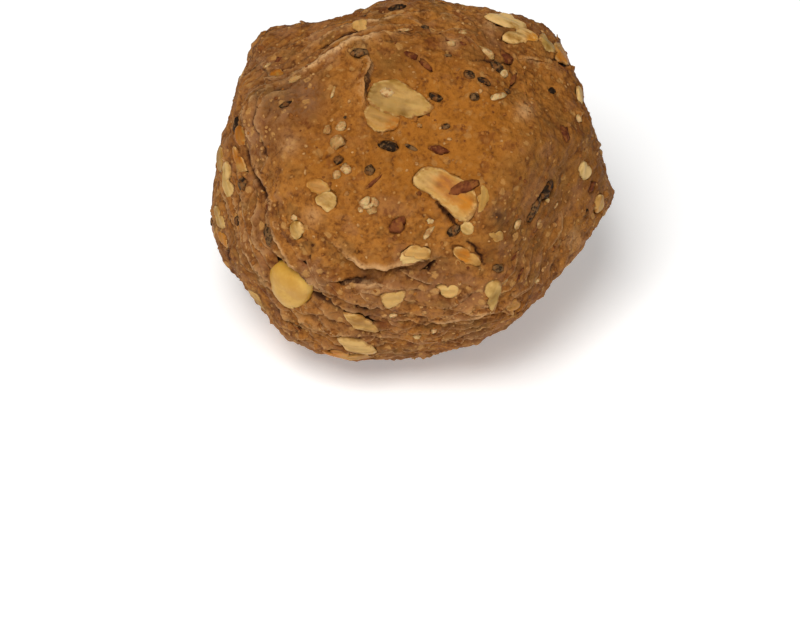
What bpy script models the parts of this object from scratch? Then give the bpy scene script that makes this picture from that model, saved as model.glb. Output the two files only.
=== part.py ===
"""Energy ball: one hand-pressed lump of nut and date dough, with rolled oats, a golden kernel and seeds set in it."""

import math
import random

import bmesh
import bpy
import numpy as np
from mathutils import Matrix, Vector, noise
from mathutils.bvhtree import BVHTree

MM = 0.001

# The ball is described as its best side is seen, in millimetres from its middle: right, up and towards the viewer.
LOOK_DOWN = math.radians(40)  # the viewer looks down on the best side by this angle
MIDDLE_HEIGHT = 18.3  # the ball's middle above the spot that it rests on
SPHERE_LEVEL = 5  # icosphere subdivisions of the dough
PRESS = 26  # how sharply two neighbouring flats meet

# Flats that palms and fingers left: turn round the outline from the right, lean towards the viewer, reach
FLATS = (
    (165, 0, 21.1),
    (185, 5, 22.2),
    (212, 0, 22.1),
    (233, -5, 22.1),
    (254, 0, 21.0),
    (280, 0, 19.1),
    (307, 0, 18.7),
    (327, 0, 19.6),
    (18, 0, 20.7),
    (50, 0, 22.5),
    (80, 0, 19.9),
    (104, 0, 19.3),
    (142, 0, 22.4),
    (100, 72, 18.2),
    (264, 64, 18.9),
    (186, 34, 20.4),
    (120, 32, 19.9),
    (338, 35, 19.4),
    (272, 34, 18.7),
    (228, 36, 20.2),
    (48, 38, 20.2),
    (88, 38, 19.6),
    (90, -50, 18.9),
    (150, -42, 20.0),
    (35, -40, 19.5),
    (200, -42, 20.6),
    (335, -38, 19.8),
    (60, -84, 19.4),
    (296, -32, 19.6),
    (244, -30, 19.8),
    (262, -68, 19.3),
    (306, -62, 19.7),
    (270, -40, 18.75),
)

# Corners and hollows on those flats: turn, lean, spread in degrees, height
LUMPS = (
    (134, 2, 10, 1.1),
    (96, 0, 8, 0.4),
    (115, -4, 9, -1.2),
    (12, 0, 15, -1.35),
    (31, -4, 6, -0.5),
    (357, 0, 6, 0.8),
    (346, 0, 6, -0.6),
    (331, -4, 7, -0.7),
    (313, -5, 9, -1.3),
    (293, 0, 7, -0.35),
    (75, -9, 11, -1.6),
    (62, -3, 7, -0.7),
    (216, 0, 7, -0.5),
    (50, 0, 8, 0.2),
    (262, 0, 12, -0.45),
    (198, 0, 9, 0.4),
    (167, -3, 8, -1.0),
    (238, 0, 9, 0.25),
)

# Folded dough edges on the best side: the (right, up) points of the edge, and how far its left-hand side stands up
FOLDS = (
    (((-3.3, 15.9), (-6.2, 14.6), (-9.0, 13.6), (-12.0, 12.3), (-14.5, 11.2)), 1.2),
    (((0.7, 18.4), (-3.8, 16.8), (-7.0, 15.6), (-10.0, 13.9)), 0.8),
    (((-17.4, 3.5), (-16.3, 1.0), (-14.6, -1.5), (-14.4, -4.5), (-13.0, -8.4), (-10.8, -11.0), (-8.4, -12.6)), 1.4),
    (((-8.1, -7.4), (-6.0, -8.7), (-2.2, -9.1), (2.2, -8.6)), 1.5),
    (((-2.4, -11.3), (-4.4, -11.0), (-6.3, -10.8), (-7.8, -11.4)), 0.9),
    (((-18.6, -3.0), (-17.9, -6.5), (-15.5, -10.8), (-12.0, -15.0)), 1.0),
    (((1.4, -15.2), (4.2, -14.9), (6.9, -14.4), (9.7, -13.5), (10.9, -12.6)), 0.9),
)
FOLD_BACK = 2.6  # the standing side of a fold sinks back over about this width
FOLD_FOOT = 1.1  # and the side under it comes up again over about this one
SEEN_EDGE = 0.45  # half the width that a fold's edge drops over, where it is seen
HIDDEN_EDGE = 1.1  # and on the sides that the best side hides, where the mesh is coarser
HIDDEN_FOLDS = 9
FOLD_REACH = 6  # a fold lifts nothing beyond this
FINE_NEAR_FOLDS = 0.8  # the dough's mesh is finer this near a seen fold
WAVES = ((0.36, 0.13), (0.3, 0.33))  # unevenness of hand-rolled dough: height, and waves in a millimetre

# Pieces pressed in on the best side: right, up, length, width, turn, tip of the long axis out of the dough
FLAKES = (
    (-1.3, 8.8, 7.6, 4.8, -17, 2),
    (3.4, -1.4, 8.2, 3.8, -44, 3),
    (-2.3, -13.0, 3.2, 2.6, -60, 8),
    (-5.6, -15.6, 4.6, 1.9, -32, 8),
    (-6.2, -17.7, 5.4, 2.8, -25, 14),
    (0.7, -7.9, 3.6, 2.2, -8, 6),
    (5.9, -8.4, 3.8, 2.2, -45, 4),
    (9.0, -13.0, 4.0, 2.0, 62, 5),
    (4.6, -12.1, 2.8, 2.0, 0, 4),
    (10.3, 17.3, 5.6, 2.6, -8, 12),
    (12.1, 15.2, 4.4, 2.6, -3, 4),
    (15.6, 14.2, 3.0, 1.9, -45, 14),
    (-20.2, 1.6, 4.6, 2.2, 95, 10),
    (-18.7, 2.6, 3.4, 1.6, -60, 6),
    (-20.4, -4.1, 4.2, 2.0, -55, 12),
    (-10.3, -2.2, 3.2, 2.6, -40, 8),
    (-12.6, -5.1, 3.0, 1.8, -65, 6),
    (18.6, 0.9, 2.4, 1.8, 20, 5),
)
KERNELS = ((-13.4, -11.8, 4.9, 4.4, 110, 0),)
# Chia, flax slivers, sesame and nut crumbs
SEEDS = (
    (-19.2, 6.0, 1.9, 1.2, 80, 0),
    (-18.7, -0.4, 1.5, 1.2, 60, 0),
    (-15.8, -6.0, 2.5, 1.4, 110, 0),
    (-13.9, 8.4, 1.7, 1.0, 20, 0),
    (-5.8, 14.0, 2.0, 1.2, -10, 0),
    (-1.5, 18.9, 2.0, 1.2, 0, 0),
    (2.6, 9.0, 1.5, 1.0, -20, 0),
    (6.3, 11.4, 1.6, 1.1, -35, 0),
    (7.9, 11.0, 1.7, 1.0, -30, 0),
    (6.8, 9.2, 1.4, 1.1, 0, 0),
    (10.5, 9.9, 1.3, 1.0, 70, 0),
    (15.3, 9.8, 1.4, 1.0, 30, 0),
    (9.3, 12.4, 1.8, 1.3, -40, 0),
    (-2.6, 3.8, 2.4, 1.3, -15, 0),
    (-0.2, 3.6, 1.6, 0.9, -20, 0),
    (3.6, 5.9, 1.3, 1.0, 0, 0),
    (-8.1, 2.2, 1.4, 1.1, 30, 0),
    (-4.7, 1.1, 1.5, 1.3, 60, 0),
    (9.6, -9.8, 1.5, 1.1, -20, 0),
    (4.5, -5.4, 1.8, 1.2, 40, 0),
    (-0.1, 13.6, 2.2, 1.0, -35, 0),
    (1.5, 12.7, 2.2, 0.8, -50, 0),
    (2.9, 3.4, 2.7, 1.2, -12, 0),
    (-1.5, -5.0, 2.4, 1.5, 50, 0),
    (14.4, -2.1, 4.4, 1.1, 56, 0),
    (19.8, -0.8, 1.5, 1.0, 10, 0),
    (11.9, -10.3, 1.5, 0.9, 35, 0),
    (-17.7, 12.9, 1.8, 1.2, 100, 0),
    (-8.1, 4.2, 2.1, 1.7, 30, 0),
    (-7.2, 1.0, 1.7, 1.2, -40, 0),
    (-4.9, -2.9, 2.6, 2.3, 20, 0),
    (11.8, -4.8, 1.4, 1.2, 0, 0),
    (-19.3, -9.7, 1.3, 1.0, 0, 0),
    (8.3, 14.0, 2.1, 1.2, -60, 0),
    (9.4, 9.3, 2.2, 1.1, 35, 0),
)
# Each kind's thickness as a share of its width, how deep its middle lies, and the sides of its rim
FLAT_KIND = (0.36, 0.06, 12)
ROUND_KIND = (0.75, 0.1, 12)
SEED_KIND = (0.75, 0.1, 5)

SCATTERED = 92  # places spread evenly round the whole ball, used where the best side's own pieces aren't
FLAKE_EVERY = 3  # one in this many of them is an oat flake
FLAKE_LENGTHS = (4.6, 7.6)
SEED_LENGTHS = (1.5, 2.7)
BEST_SIDE = 0.12  # the best side begins at this share of the way towards the viewer
FOOT_CLEARANCE = math.radians(36)  # no piece lies this near the resting spot
SEED = 11
DOUGH_COLOUR = (0.30, 0.115, 0.027, 1)
DOUGH_ROUGHNESS = 0.75
SHARP_ANGLE = math.radians(24)


def front_direction(turn, lean):
    """Unit direction of a turn round the outline and a lean towards the viewer, both in degrees."""
    turn, lean = math.radians(turn), math.radians(lean)
    return Vector((math.cos(lean) * math.cos(turn), math.cos(lean) * math.sin(turn), math.sin(lean)))


FLAT_NORMALS = np.array([front_direction(turn, lean) for turn, lean, _ in FLATS])
FLAT_REACHES = np.array([reach for *_, reach in FLATS])


def pressed_reach(directions):
    """How far the pressed lump reaches in each direction, before its folds."""
    pull = np.maximum(directions @ FLAT_NORMALS.T / FLAT_REACHES, 0) ** PRESS
    reach = pull.sum(axis=1) ** (-1 / PRESS)
    for turn, lean, spread, height in LUMPS:
        along = directions @ np.array(front_direction(turn, lean))
        reach += height * np.exp((along - 1) / (1 - math.cos(math.radians(spread))))
    waved = reach.copy()
    for height, in_a_mm in WAVES:
        waved += [height * noise.noise(Vector(d) * r * in_a_mm) for d, r in zip(directions, reach)]
    return waved


def front_point(right, up):
    """The point of the pressed lump that the viewer sees at these millimetres from its middle."""
    towards = 12.0
    for _ in range(30):
        direction = np.array([[right, up, towards]])
        direction /= np.linalg.norm(direction)
        reach = pressed_reach(direction)[0]
        towards = math.sqrt(max(reach**2 - right**2 - up**2, 1.0))
    return Vector((right, up, towards))


def downwards():
    """The way to the resting spot."""
    return Vector((0, -math.cos(LOOK_DOWN), -math.sin(LOOK_DOWN)))


def hidden_folds(draw):
    """Folded edges away from the viewer, each a wandering line of four points on the lump."""
    folds = []
    for number in range(HIDDEN_FOLDS):
        turn = 360 * number / HIDDEN_FOLDS + draw.uniform(-12, 12)
        lean = -22 - 50 * (number % 3) / 2
        heading = draw.uniform(-0.6, 0.6) + math.pi * (number % 2)
        rise = draw.uniform(0.9, 1.4)
        line = []
        for _ in range(4):
            direction = front_direction(turn, lean)
            line.append(direction * pressed_reach(np.array([direction]))[0])
            turn += 14 * math.cos(heading) / math.cos(math.radians(lean))
            lean += 14 * math.sin(heading)
            heading += draw.uniform(-0.5, 0.5)
        if min(point.angle(downwards()) for point in line) > FOOT_CLEARANCE:
            folds.append((line, rise, HIDDEN_EDGE))
    return folds


def fold_height(points, line, rise, edge):
    """How far a fold along this line lifts each point, its left-hand side up, and the point's distance from it."""
    nearest = np.full(len(points), 1e9)
    height = np.zeros(len(points))
    outwards = points / np.linalg.norm(points, axis=1)[:, None]
    for number, (start, end) in enumerate(zip(line, line[1:])):
        start, along = np.array(start), np.array(end) - np.array(start)
        share = np.clip((points - start) @ along / (along @ along), 0, 1)
        offset = points - start - share[:, None] * along
        beyond = np.einsum("ij,ij->i", offset, outwards)  # large only on the ball's other side
        offset -= beyond[:, None] * outwards
        distance = np.where(beyond > FOLD_REACH, 1e9, np.linalg.norm(offset, axis=1))
        side = np.sign(np.einsum("ij,ij->i", np.cross(along, offset), outwards)) * distance
        standing = np.clip(side / edge / 2 + 0.5, 0, 1)
        back = np.exp(-np.maximum(side, 0) / FOLD_BACK)
        foot = np.exp(-np.maximum(-side, 0) / FOLD_FOOT)
        fade = np.sin(math.pi * np.clip((number + share) / (len(line) - 1), 0.02, 0.98)) ** 0.5
        closer = distance < nearest
        height[closer] = (rise * fade * (standing * back - 0.5 * (1 - standing) * foot))[closer]
        nearest[closer] = distance[closer]
    return height, nearest


def all_folds():
    draw = random.Random(SEED)
    seen = [([front_point(*point) for point in line], rise, SEEN_EDGE) for line, rise in FOLDS]
    return seen + hidden_folds(draw)


def dough_object():
    """The bare dough: an icosphere, finer along the seen folds, with each point moved out to the lump's surface."""
    bpy.ops.mesh.primitive_ico_sphere_add(subdivisions=SPHERE_LEVEL, radius=1)
    dough = bpy.context.object
    folds = all_folds()
    shape = bmesh.new()
    shape.from_mesh(dough.data)
    middles = np.array([(edge.verts[0].co + edge.verts[1].co).normalized() for edge in shape.edges])
    surface = middles * pressed_reach(middles)[:, None]
    near = np.min([fold_height(surface, *fold)[1] for fold in folds[: len(FOLDS)]], axis=0)
    split = [edge for edge, distance in zip(shape.edges, near) if distance < FINE_NEAR_FOLDS]
    bmesh.ops.subdivide_edges(shape, edges=split, cuts=1)
    bmesh.ops.triangulate(shape, faces=shape.faces[:])
    directions = np.array([vertex.co.normalized() for vertex in shape.verts])
    reach = pressed_reach(directions)
    surface = directions * reach[:, None]
    for fold in folds:
        reach += fold_height(surface, *fold)[0]
    for vertex, direction, distance in zip(shape.verts, directions, reach):
        vertex.co = Vector(direction) * distance
    shape.to_mesh(dough.data)
    shape.free()
    return dough


def dough_tree(dough):
    return BVHTree.FromPolygons([v.co for v in dough.data.vertices], [p.vertices for p in dough.data.polygons])


def press_in(size, kind, place, normal, heading, tip, collection):
    """A flattened ball with a slightly uneven rim, laid on the dough along a heading, with its far end tipped out."""
    length, width = size
    thickness, depth, sides = kind
    bpy.ops.mesh.primitive_uv_sphere_add(segments=sides, ring_count=4, radius=0.5)
    piece = bpy.context.object
    for vertex in piece.data.vertices:
        rim = 1 + 0.07 * math.sin(3 * math.atan2(vertex.co.y, vertex.co.x) + place.x)
        vertex.co = Vector((vertex.co.x * rim * length, vertex.co.y * rim * width, vertex.co.z * thickness * width))
    side = normal.cross(heading).normalized()
    lying = Matrix((side.cross(normal).normalized(), side, normal)).transposed()
    turned = lying @ Matrix.Rotation(math.radians(-tip), 3, "Y")
    piece.data.transform(Matrix.Translation(place - normal * depth * width) @ turned.to_4x4())
    for owner in piece.users_collection:
        owner.objects.unlink(piece)
    collection.objects.link(piece)


def press_in_seen_pieces(dough, collection):
    """The pieces of the best side, each where a line from the viewer meets the dough."""
    tree = dough_tree(dough)
    for pieces, kind in ((FLAKES, FLAT_KIND), (KERNELS, ROUND_KIND), (SEEDS, SEED_KIND)):
        for right, up, length, width, turn, tip in pieces:
            place, normal, _, _ = tree.ray_cast(Vector((right, up, 60)), Vector((0, 0, -1)))
            normal = (normal + place.normalized()).normalized()
            press_in((length, width), kind, place, normal, front_direction(turn, 0), tip, collection)


def press_in_scattered_pieces(dough, collection):
    """Flakes and seeds over the other sides, evenly spread on a spiral with a seeded draw."""
    draw = random.Random(SEED)
    tree = dough_tree(dough)
    for number in range(SCATTERED):
        towards = 1 - 2 * (number + 0.5) / SCATTERED
        angle = number * math.pi * (3 - math.sqrt(5)) + draw.uniform(-0.15, 0.15)
        around = math.sqrt(1 - towards * towards)
        direction = Vector((around * math.cos(angle), around * math.sin(angle), towards))
        is_flake = number % FLAKE_EVERY == 0
        length = draw.uniform(*(FLAKE_LENGTHS if is_flake else SEED_LENGTHS))
        width = length * draw.uniform(0.6, 0.78)
        heading = front_direction(draw.uniform(0, 360), draw.uniform(-60, 60))
        tip = draw.uniform(1, 6)
        if towards > BEST_SIDE or direction.angle(downwards()) < FOOT_CLEARANCE:
            continue
        place, normal, _, _ = tree.ray_cast(Vector((0, 0, 0)), direction)
        normal = (normal + direction).normalized()
        kind = FLAT_KIND if is_flake else SEED_KIND
        press_in((length, width), kind, place, normal, heading, tip, collection)


def fuse(dough, collection):
    """One Boolean union of the dough with everything in the collection."""
    union = dough.modifiers.new("fuse", "BOOLEAN")
    union.operation = "UNION"
    union.operand_type = "COLLECTION"
    union.collection = collection
    union.solver = "MANIFOLD"
    bpy.context.view_layer.objects.active = dough
    bpy.ops.object.modifier_apply(modifier=union.name)
    for piece in list(collection.objects):
        bpy.data.objects.remove(piece)
    bpy.data.collections.remove(collection)


def drop_scraps(shape):
    """Keeps the one big body: loose scraps and the walls of sealed hollows are dropped."""
    unseen = set(shape.verts)
    bodies = []
    while unseen:
        body = set()
        edge_of_growth = [unseen.pop()]
        while edge_of_growth:
            vertex = edge_of_growth.pop()
            body.add(vertex)
            near = {edge.other_vert(vertex) for edge in vertex.link_edges} & unseen
            unseen -= near
            edge_of_growth.extend(near)
        bodies.append(body)
    bodies.sort(key=len)
    scraps = [vertex for body in bodies[:-1] for vertex in body]
    bmesh.ops.delete(shape, geom=scraps, context="VERTS")


def set_down(ball):
    """Turns the best side up by the viewer's angle, and cuts the flat spot that the ball rests on at height 0."""
    right = Vector((1, 0, 0))
    up = Vector((0, math.sin(LOOK_DOWN), math.cos(LOOK_DOWN)))
    towards = Vector((0, -math.cos(LOOK_DOWN), math.sin(LOOK_DOWN)))
    turned = Matrix((right, up, towards)).transposed().to_4x4()
    ball.data.transform(Matrix.Scale(MM, 4) @ Matrix.Translation((0, 0, MIDDLE_HEIGHT)) @ turned)
    shape = bmesh.new()
    shape.from_mesh(ball.data)
    everything = shape.verts[:] + shape.edges[:] + shape.faces[:]
    cut = bmesh.ops.bisect_plane(
        shape, geom=everything, dist=1e-7, plane_co=(0, 0, 0), plane_no=(0, 0, 1), clear_inner=True
    )
    rim = [part for part in cut["geom_cut"] if isinstance(part, bmesh.types.BMEdge)]
    bmesh.ops.edgeloop_fill(shape, edges=rim)
    drop_scraps(shape)
    bmesh.ops.triangulate(shape, faces=shape.faces[:])
    bmesh.ops.recalc_face_normals(shape, faces=shape.faces[:])
    shape.to_mesh(ball.data)
    shape.free()


def dough_material():
    material = bpy.data.materials.new("dough")
    material.use_nodes = True
    shader = material.node_tree.nodes["Principled BSDF"]
    shader.inputs["Base Color"].default_value = DOUGH_COLOUR
    shader.inputs["Roughness"].default_value = DOUGH_ROUGHNESS
    shader.inputs["Metallic"].default_value = 0
    return material


def build():
    for obj in list(bpy.data.objects):
        bpy.data.objects.remove(obj)
    home = bpy.data.collections.new("energy_ball")
    pieces = bpy.data.collections.new("pressed_in")
    for collection in (home, pieces):
        bpy.context.scene.collection.children.link(collection)
    ball = dough_object()
    press_in_seen_pieces(ball, pieces)
    press_in_scattered_pieces(ball, pieces)
    fuse(ball, pieces)
    set_down(ball)
    ball.name = ball.data.name = "energy_ball"
    ball.data.materials.append(dough_material())
    ball.data.shade_smooth()
    ball.data.set_sharp_from_angle(angle=SHARP_ANGLE)
    for owner in ball.users_collection:
        owner.objects.unlink(ball)
    home.objects.link(ball)
    return ball


build()
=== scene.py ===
# %% Load the frame
import math
import random
from collections import namedtuple

import bpy
import numpy as np
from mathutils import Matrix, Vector, noise
from mathutils.bvhtree import BVHTree
from mathutils.kdtree import KDTree


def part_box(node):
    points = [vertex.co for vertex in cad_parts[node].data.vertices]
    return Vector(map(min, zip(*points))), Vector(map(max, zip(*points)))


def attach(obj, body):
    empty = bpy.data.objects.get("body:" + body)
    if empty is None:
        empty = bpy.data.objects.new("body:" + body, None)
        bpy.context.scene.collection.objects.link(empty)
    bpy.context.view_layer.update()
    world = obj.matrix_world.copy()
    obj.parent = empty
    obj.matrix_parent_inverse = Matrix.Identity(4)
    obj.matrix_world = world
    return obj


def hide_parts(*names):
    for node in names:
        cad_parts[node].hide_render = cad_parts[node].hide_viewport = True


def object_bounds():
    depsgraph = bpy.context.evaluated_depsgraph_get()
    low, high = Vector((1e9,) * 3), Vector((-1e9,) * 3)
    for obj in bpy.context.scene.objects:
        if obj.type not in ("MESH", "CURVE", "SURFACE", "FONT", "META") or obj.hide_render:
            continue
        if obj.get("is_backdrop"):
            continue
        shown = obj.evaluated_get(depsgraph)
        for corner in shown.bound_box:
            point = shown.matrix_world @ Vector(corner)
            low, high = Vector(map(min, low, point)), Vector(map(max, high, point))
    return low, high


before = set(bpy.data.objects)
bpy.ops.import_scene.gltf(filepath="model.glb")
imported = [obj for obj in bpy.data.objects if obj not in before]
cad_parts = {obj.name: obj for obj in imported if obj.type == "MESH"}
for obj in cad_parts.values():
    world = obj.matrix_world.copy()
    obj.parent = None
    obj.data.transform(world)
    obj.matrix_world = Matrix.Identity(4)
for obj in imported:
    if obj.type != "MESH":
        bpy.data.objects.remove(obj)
cad_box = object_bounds()
cad_low, cad_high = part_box("energy_ball")
print("the ball's solid is", [round(1000 * side, 1) for side in cad_high - cad_low], "mm")

# %% [markdown]
# The ball is a lump of sticky nut and date dough, pressed between two palms. Its best side faces the
# viewer, who looks down on it by about 40 degrees. Everything on that side is easiest to place as it is
# seen, so this script works in millimetres from the ball's middle: right, up, and towards the viewer. One
# function turns such points into the frame's metres at the very end, when a mesh is made.

# %% The way that the viewer sees the ball
MM = 0.001
LOOK_DOWN = math.radians(40)
MIDDLE_HEIGHT = 18.3  # the ball's middle above the spot that it rests on
RIGHT = np.array((1.0, 0.0, 0.0))
UP = np.array((0.0, math.sin(LOOK_DOWN), math.cos(LOOK_DOWN)))
TOWARDS = np.array((0.0, -math.cos(LOOK_DOWN), math.sin(LOOK_DOWN)))
MIDDLE = np.array((0.0, 0.0, MIDDLE_HEIGHT))


def in_frame(points):
    """Seen points (right, up, towards) in millimetres, as the frame's points in metres."""
    return (np.asarray(points) @ np.array((RIGHT, UP, TOWARDS)) + MIDDLE) * MM


def direction_of(turn, lean):
    """Unit direction of a turn round the outline from the right and a lean to the viewer, in degrees."""
    turn, lean = math.radians(turn), math.radians(lean)
    return np.array((math.cos(lean) * math.cos(turn), math.cos(lean) * math.sin(turn), math.sin(lean)))


def dots(a, b):
    return np.einsum("ij,ij->i", a, b)


print("towards the viewer is", TOWARDS.round(3), "in the frame")

# %% [markdown]
# A hand-pressed ball isn't round: palms and fingers leave flats that meet in soft corners. A sphere with
# noise would look like a stone. Here each flat is a plane at its own distance, and a high power blends the
# planes, as the outside of a soft gem. Small lumps then pull single corners in or out. These are the
# solid's own numbers.

# %% The pressed lump
PRESS = 26  # how sharply two neighbouring flats meet
FLATS = (  # turn, lean, reach
    (165, 0, 21.1), (185, 5, 22.2), (212, 0, 22.1), (233, -5, 22.1), (254, 0, 21.0), (280, 0, 19.1),
    (307, 0, 18.7), (327, 0, 19.6), (18, 0, 20.7), (50, 0, 22.5), (80, 0, 19.9), (104, 0, 19.3),
    (142, 0, 22.4), (100, 72, 18.2), (264, 64, 18.9), (186, 34, 20.4), (120, 32, 19.9), (338, 35, 19.4),
    (272, 34, 18.7), (228, 36, 20.2), (48, 38, 20.2), (88, 38, 19.6), (90, -50, 18.9), (150, -42, 20.0),
    (35, -40, 19.5), (200, -42, 20.6), (335, -38, 19.8), (60, -84, 19.4), (296, -32, 19.6), (244, -30, 19.8),
    (262, -68, 19.3), (306, -62, 19.7), (270, -40, 18.75),
)
LUMPS = (  # turn, lean, spread in degrees, height
    (134, 2, 10, 1.1), (96, 0, 8, 0.4), (115, -4, 9, -1.2), (12, 0, 15, -1.35), (31, -4, 6, -0.5),
    (357, 0, 6, 0.8), (346, 0, 6, -0.6), (331, -4, 7, -0.7), (313, -5, 9, -1.3), (293, 0, 7, -0.35),
    (75, -9, 11, -1.6), (62, -3, 7, -0.7), (216, 0, 7, -0.5), (50, 0, 8, 0.2), (262, 0, 12, -0.45),
    (198, 0, 9, 0.4), (167, -3, 8, -1.0), (238, 0, 9, 0.25),
)
WAVES = ((0.36, 0.13), (0.3, 0.33))  # unevenness of hand-rolled dough: height, and waves in a millimetre
FLAT_NORMALS = np.array([direction_of(turn, lean) for turn, lean, _ in FLATS])
FLAT_REACHES = np.array([reach for *_, reach in FLATS])


def noise_at(points, in_a_mm, offset=0.0):
    """Smooth noise, from about -1 to 1, at each point."""
    return np.array([noise.noise(Vector(point)) for point in points * in_a_mm + offset])


def pressed_reach(directions):
    """How far the pressed lump reaches in each direction, before its folds."""
    pull = np.maximum(directions @ FLAT_NORMALS.T / FLAT_REACHES, 0) ** PRESS
    reach = pull.sum(axis=1) ** (-1 / PRESS)
    for turn, lean, spread, height in LUMPS:
        along = directions @ direction_of(turn, lean)
        reach += height * np.exp((along - 1) / (1 - math.cos(math.radians(spread))))
    return reach + sum(height * noise_at(directions * reach[:, None], in_a_mm) for height, in_a_mm in WAVES)


print("the lump reaches", pressed_reach(np.array([direction_of(0, 90)])).round(2), "mm towards the viewer")

# %% [markdown]
# Where the palms rolled the dough over itself, one layer ends on top of the next in a torn edge. Each fold
# is a line on the surface. On its left the dough stands up and sinks back slowly, on its right it drops at
# once. The same function gives the distance from a line, which cracks and colours use too.

# %% Folded edges
SEEN_FOLDS = (  # the (right, up) points of the edge, how far its left side stands up, and its lip's width
    (((-2.1, 15.6), (-4.3, 15.0), (-7.6, 13.5), (-9.4, 12.5), (-11.3, 11.5), (-13.6, 10.4)), 1.2, 1.2),
    (((0.7, 18.4), (-3.6, 17.0), (-6.6, 16.3), (-9.6, 14.9), (-12.0, 13.6)), 0.9, 1.0),
    (((-13.2, 11.4), (-15.2, 10.5), (-16.6, 9.2), (-17.6, 7.2), (-17.8, 5.4)), 0.8, 0.5),
    (((-17.4, 3.5), (-16.3, 1.0), (-14.6, -1.5), (-14.4, -4.5), (-12.6, -8.5), (-10.3, -10.8),
      (-8.1, -12.2)), 1.4, 0.6),
    (((-8.1, -7.0), (-6.2, -8.3), (-4.1, -8.8), (-1.6, -8.8), (2.2, -8.3)), 1.5, 0.9),
    (((-2.4, -11.3), (-4.4, -11.0), (-6.3, -10.8), (-7.8, -11.4)), 0.6, 0.6),
    (((-18.6, -3.0), (-17.9, -6.5), (-15.5, -10.8), (-12.0, -15.0)), 1.0, 0.8),
    (((1.4, -15.2), (4.2, -14.9), (6.9, -14.4), (9.7, -13.5), (10.9, -12.6)), 0.9, 0.8),
)
SMALL_FOLDS = (
    (((-3.0, 16.4), (-5.4, 15.6), (-8.0, 14.5), (-10.4, 13.1)), 0.4, 0.8),
    (((-6.9, 17.3), (-9.4, 16.3), (-12.2, 14.9), (-14.6, 13.6)), 0.4, 0.4),
    (((-5.0, 7.8), (-5.1, 10.3), (-4.3, 12.1), (-4.8, 13.6)), 0.6, 0.5),
    (((-20.3, 4.4), (-19.9, -2.0), (-18.4, -7.5)), 0.5, 0.6),
    (((-19.1, 3.6), (-18.2, -1.2), (-17.1, -5.6), (-14.8, -10.6)), 0.5, 0.6),
    (((-16.9, 9.5), (-17.6, 6.0), (-16.9, 2.4)), 0.45, 0.5),
    (((-15.6, -3.8), (-15.4, -6.1), (-14.2, -8.4)), 0.4, 0.5),
    (((-12.2, -14.9), (-10.0, -15.9), (-7.4, -16.6), (-3.4, -16.8)), 0.5, 0.6),
    (((-13.6, -12.6), (-11.5, -14.2), (-9.0, -14.3)), 0.35, 0.5),
    (((3.6, -13.4), (6.2, -14.0), (8.4, -13.6), (9.4, -11.6)), 0.45, 0.5),
    (((11.4, 13.1), (13.2, 12.9), (15.2, 12.6)), 0.35, 0.4),
    (((-17.2, 13.4), (-15.4, 11.4), (-15.2, 9.4), (-16.6, 7.4)), 0.45, 0.4),
    (((-3.0, -16.6), (0.4, -17.4), (4.0, -17.2), (7.6, -16.0)), 0.4, 0.5),
)
FOLD_BACK = 2.6  # the standing side of a fold sinks back over about this width
FOLD_FOOT = 1.1  # and the side under it comes up again over about this one
SMALLER = 0.45  # a small fold's widths are this share of a large one's
SEEN_EDGE = 0.13  # half the width that a fold's edge drops over
HIDDEN_EDGE = 0.3
HIDDEN_FOLDS = 9
FOLD_REACH = 6  # a fold lifts nothing beyond this
FOOT_CLEARANCE = math.radians(36)  # no fold or piece lies this near the resting spot
SEED = 11
FOOT = np.array((0.0, -math.cos(LOOK_DOWN), -math.sin(LOOK_DOWN)))


def reached(direction):
    """The lump's point in a direction."""
    return direction * pressed_reach(np.array([direction]))[0]


FIRST_GUESS = 12.0  # of how far towards the viewer a seen point lies
GUESSES = 30


def front_point(right, up):
    """The lump's point that the viewer sees at these millimetres from its middle."""
    towards = FIRST_GUESS
    for _ in range(GUESSES):
        direction = np.array((right, up, towards))
        reach = np.linalg.norm(reached(direction / np.linalg.norm(direction)))
        towards = math.sqrt(max(reach**2 - right**2 - up**2, 1.0))
    return np.array((right, up, towards))


def angle_between(a, b):
    return math.acos(np.clip(a @ b / np.linalg.norm(a) / np.linalg.norm(b), -1, 1))


FOLD_STRIDE = 14  # degrees from one point of a hidden fold to the next
FAR_AWAY = 1e9


def hidden_folds(draw):
    """Folded edges away from the viewer, each a wandering line of four points on the lump."""
    folds = []
    for number in range(HIDDEN_FOLDS):
        turn = 360 * number / HIDDEN_FOLDS + draw.uniform(-12, 12)
        lean = -22 - 50 * (number % 3) / 2
        heading = draw.uniform(-0.6, 0.6) + math.pi * (number % 2)
        rise = draw.uniform(0.9, 1.4)
        line = []
        for _ in range(4):
            line.append(reached(direction_of(turn, lean)))
            turn += FOLD_STRIDE * math.cos(heading) / math.cos(math.radians(lean))
            lean += FOLD_STRIDE * math.sin(heading)
            heading += draw.uniform(-0.5, 0.5)
        if min(angle_between(point, FOOT) for point in line) > FOOT_CLEARANCE:
            folds.append((line, rise, HIDDEN_EDGE, 1.0, 0.9))
    return folds


def beside_line(points, line):
    """Each point's distance from a line on the surface, minus on its right, and its share of the way."""
    nearest = np.full(len(points), FAR_AWAY)
    side, run = nearest.copy(), np.zeros(len(points))
    outwards = points / np.linalg.norm(points, axis=1)[:, None]
    for number, (start, end) in enumerate(zip(line, line[1:])):
        along = end - start
        share = np.clip((points - start) @ along / (along @ along), 0, 1)
        offset = points - start - share[:, None] * along
        beyond = dots(offset, outwards)  # large only on the ball's other side
        offset -= beyond[:, None] * outwards
        distance = np.where(beyond > FOLD_REACH, FAR_AWAY, np.linalg.norm(offset, axis=1))
        closer = distance < nearest
        nearest[closer] = distance[closer]
        side[closer] = (np.where(dots(np.cross(along, offset), outwards) > 0, 1, -1) * distance)[closer]
        run[closer] = ((number + share) / (len(line) - 1))[closer]
    return side, run


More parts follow.
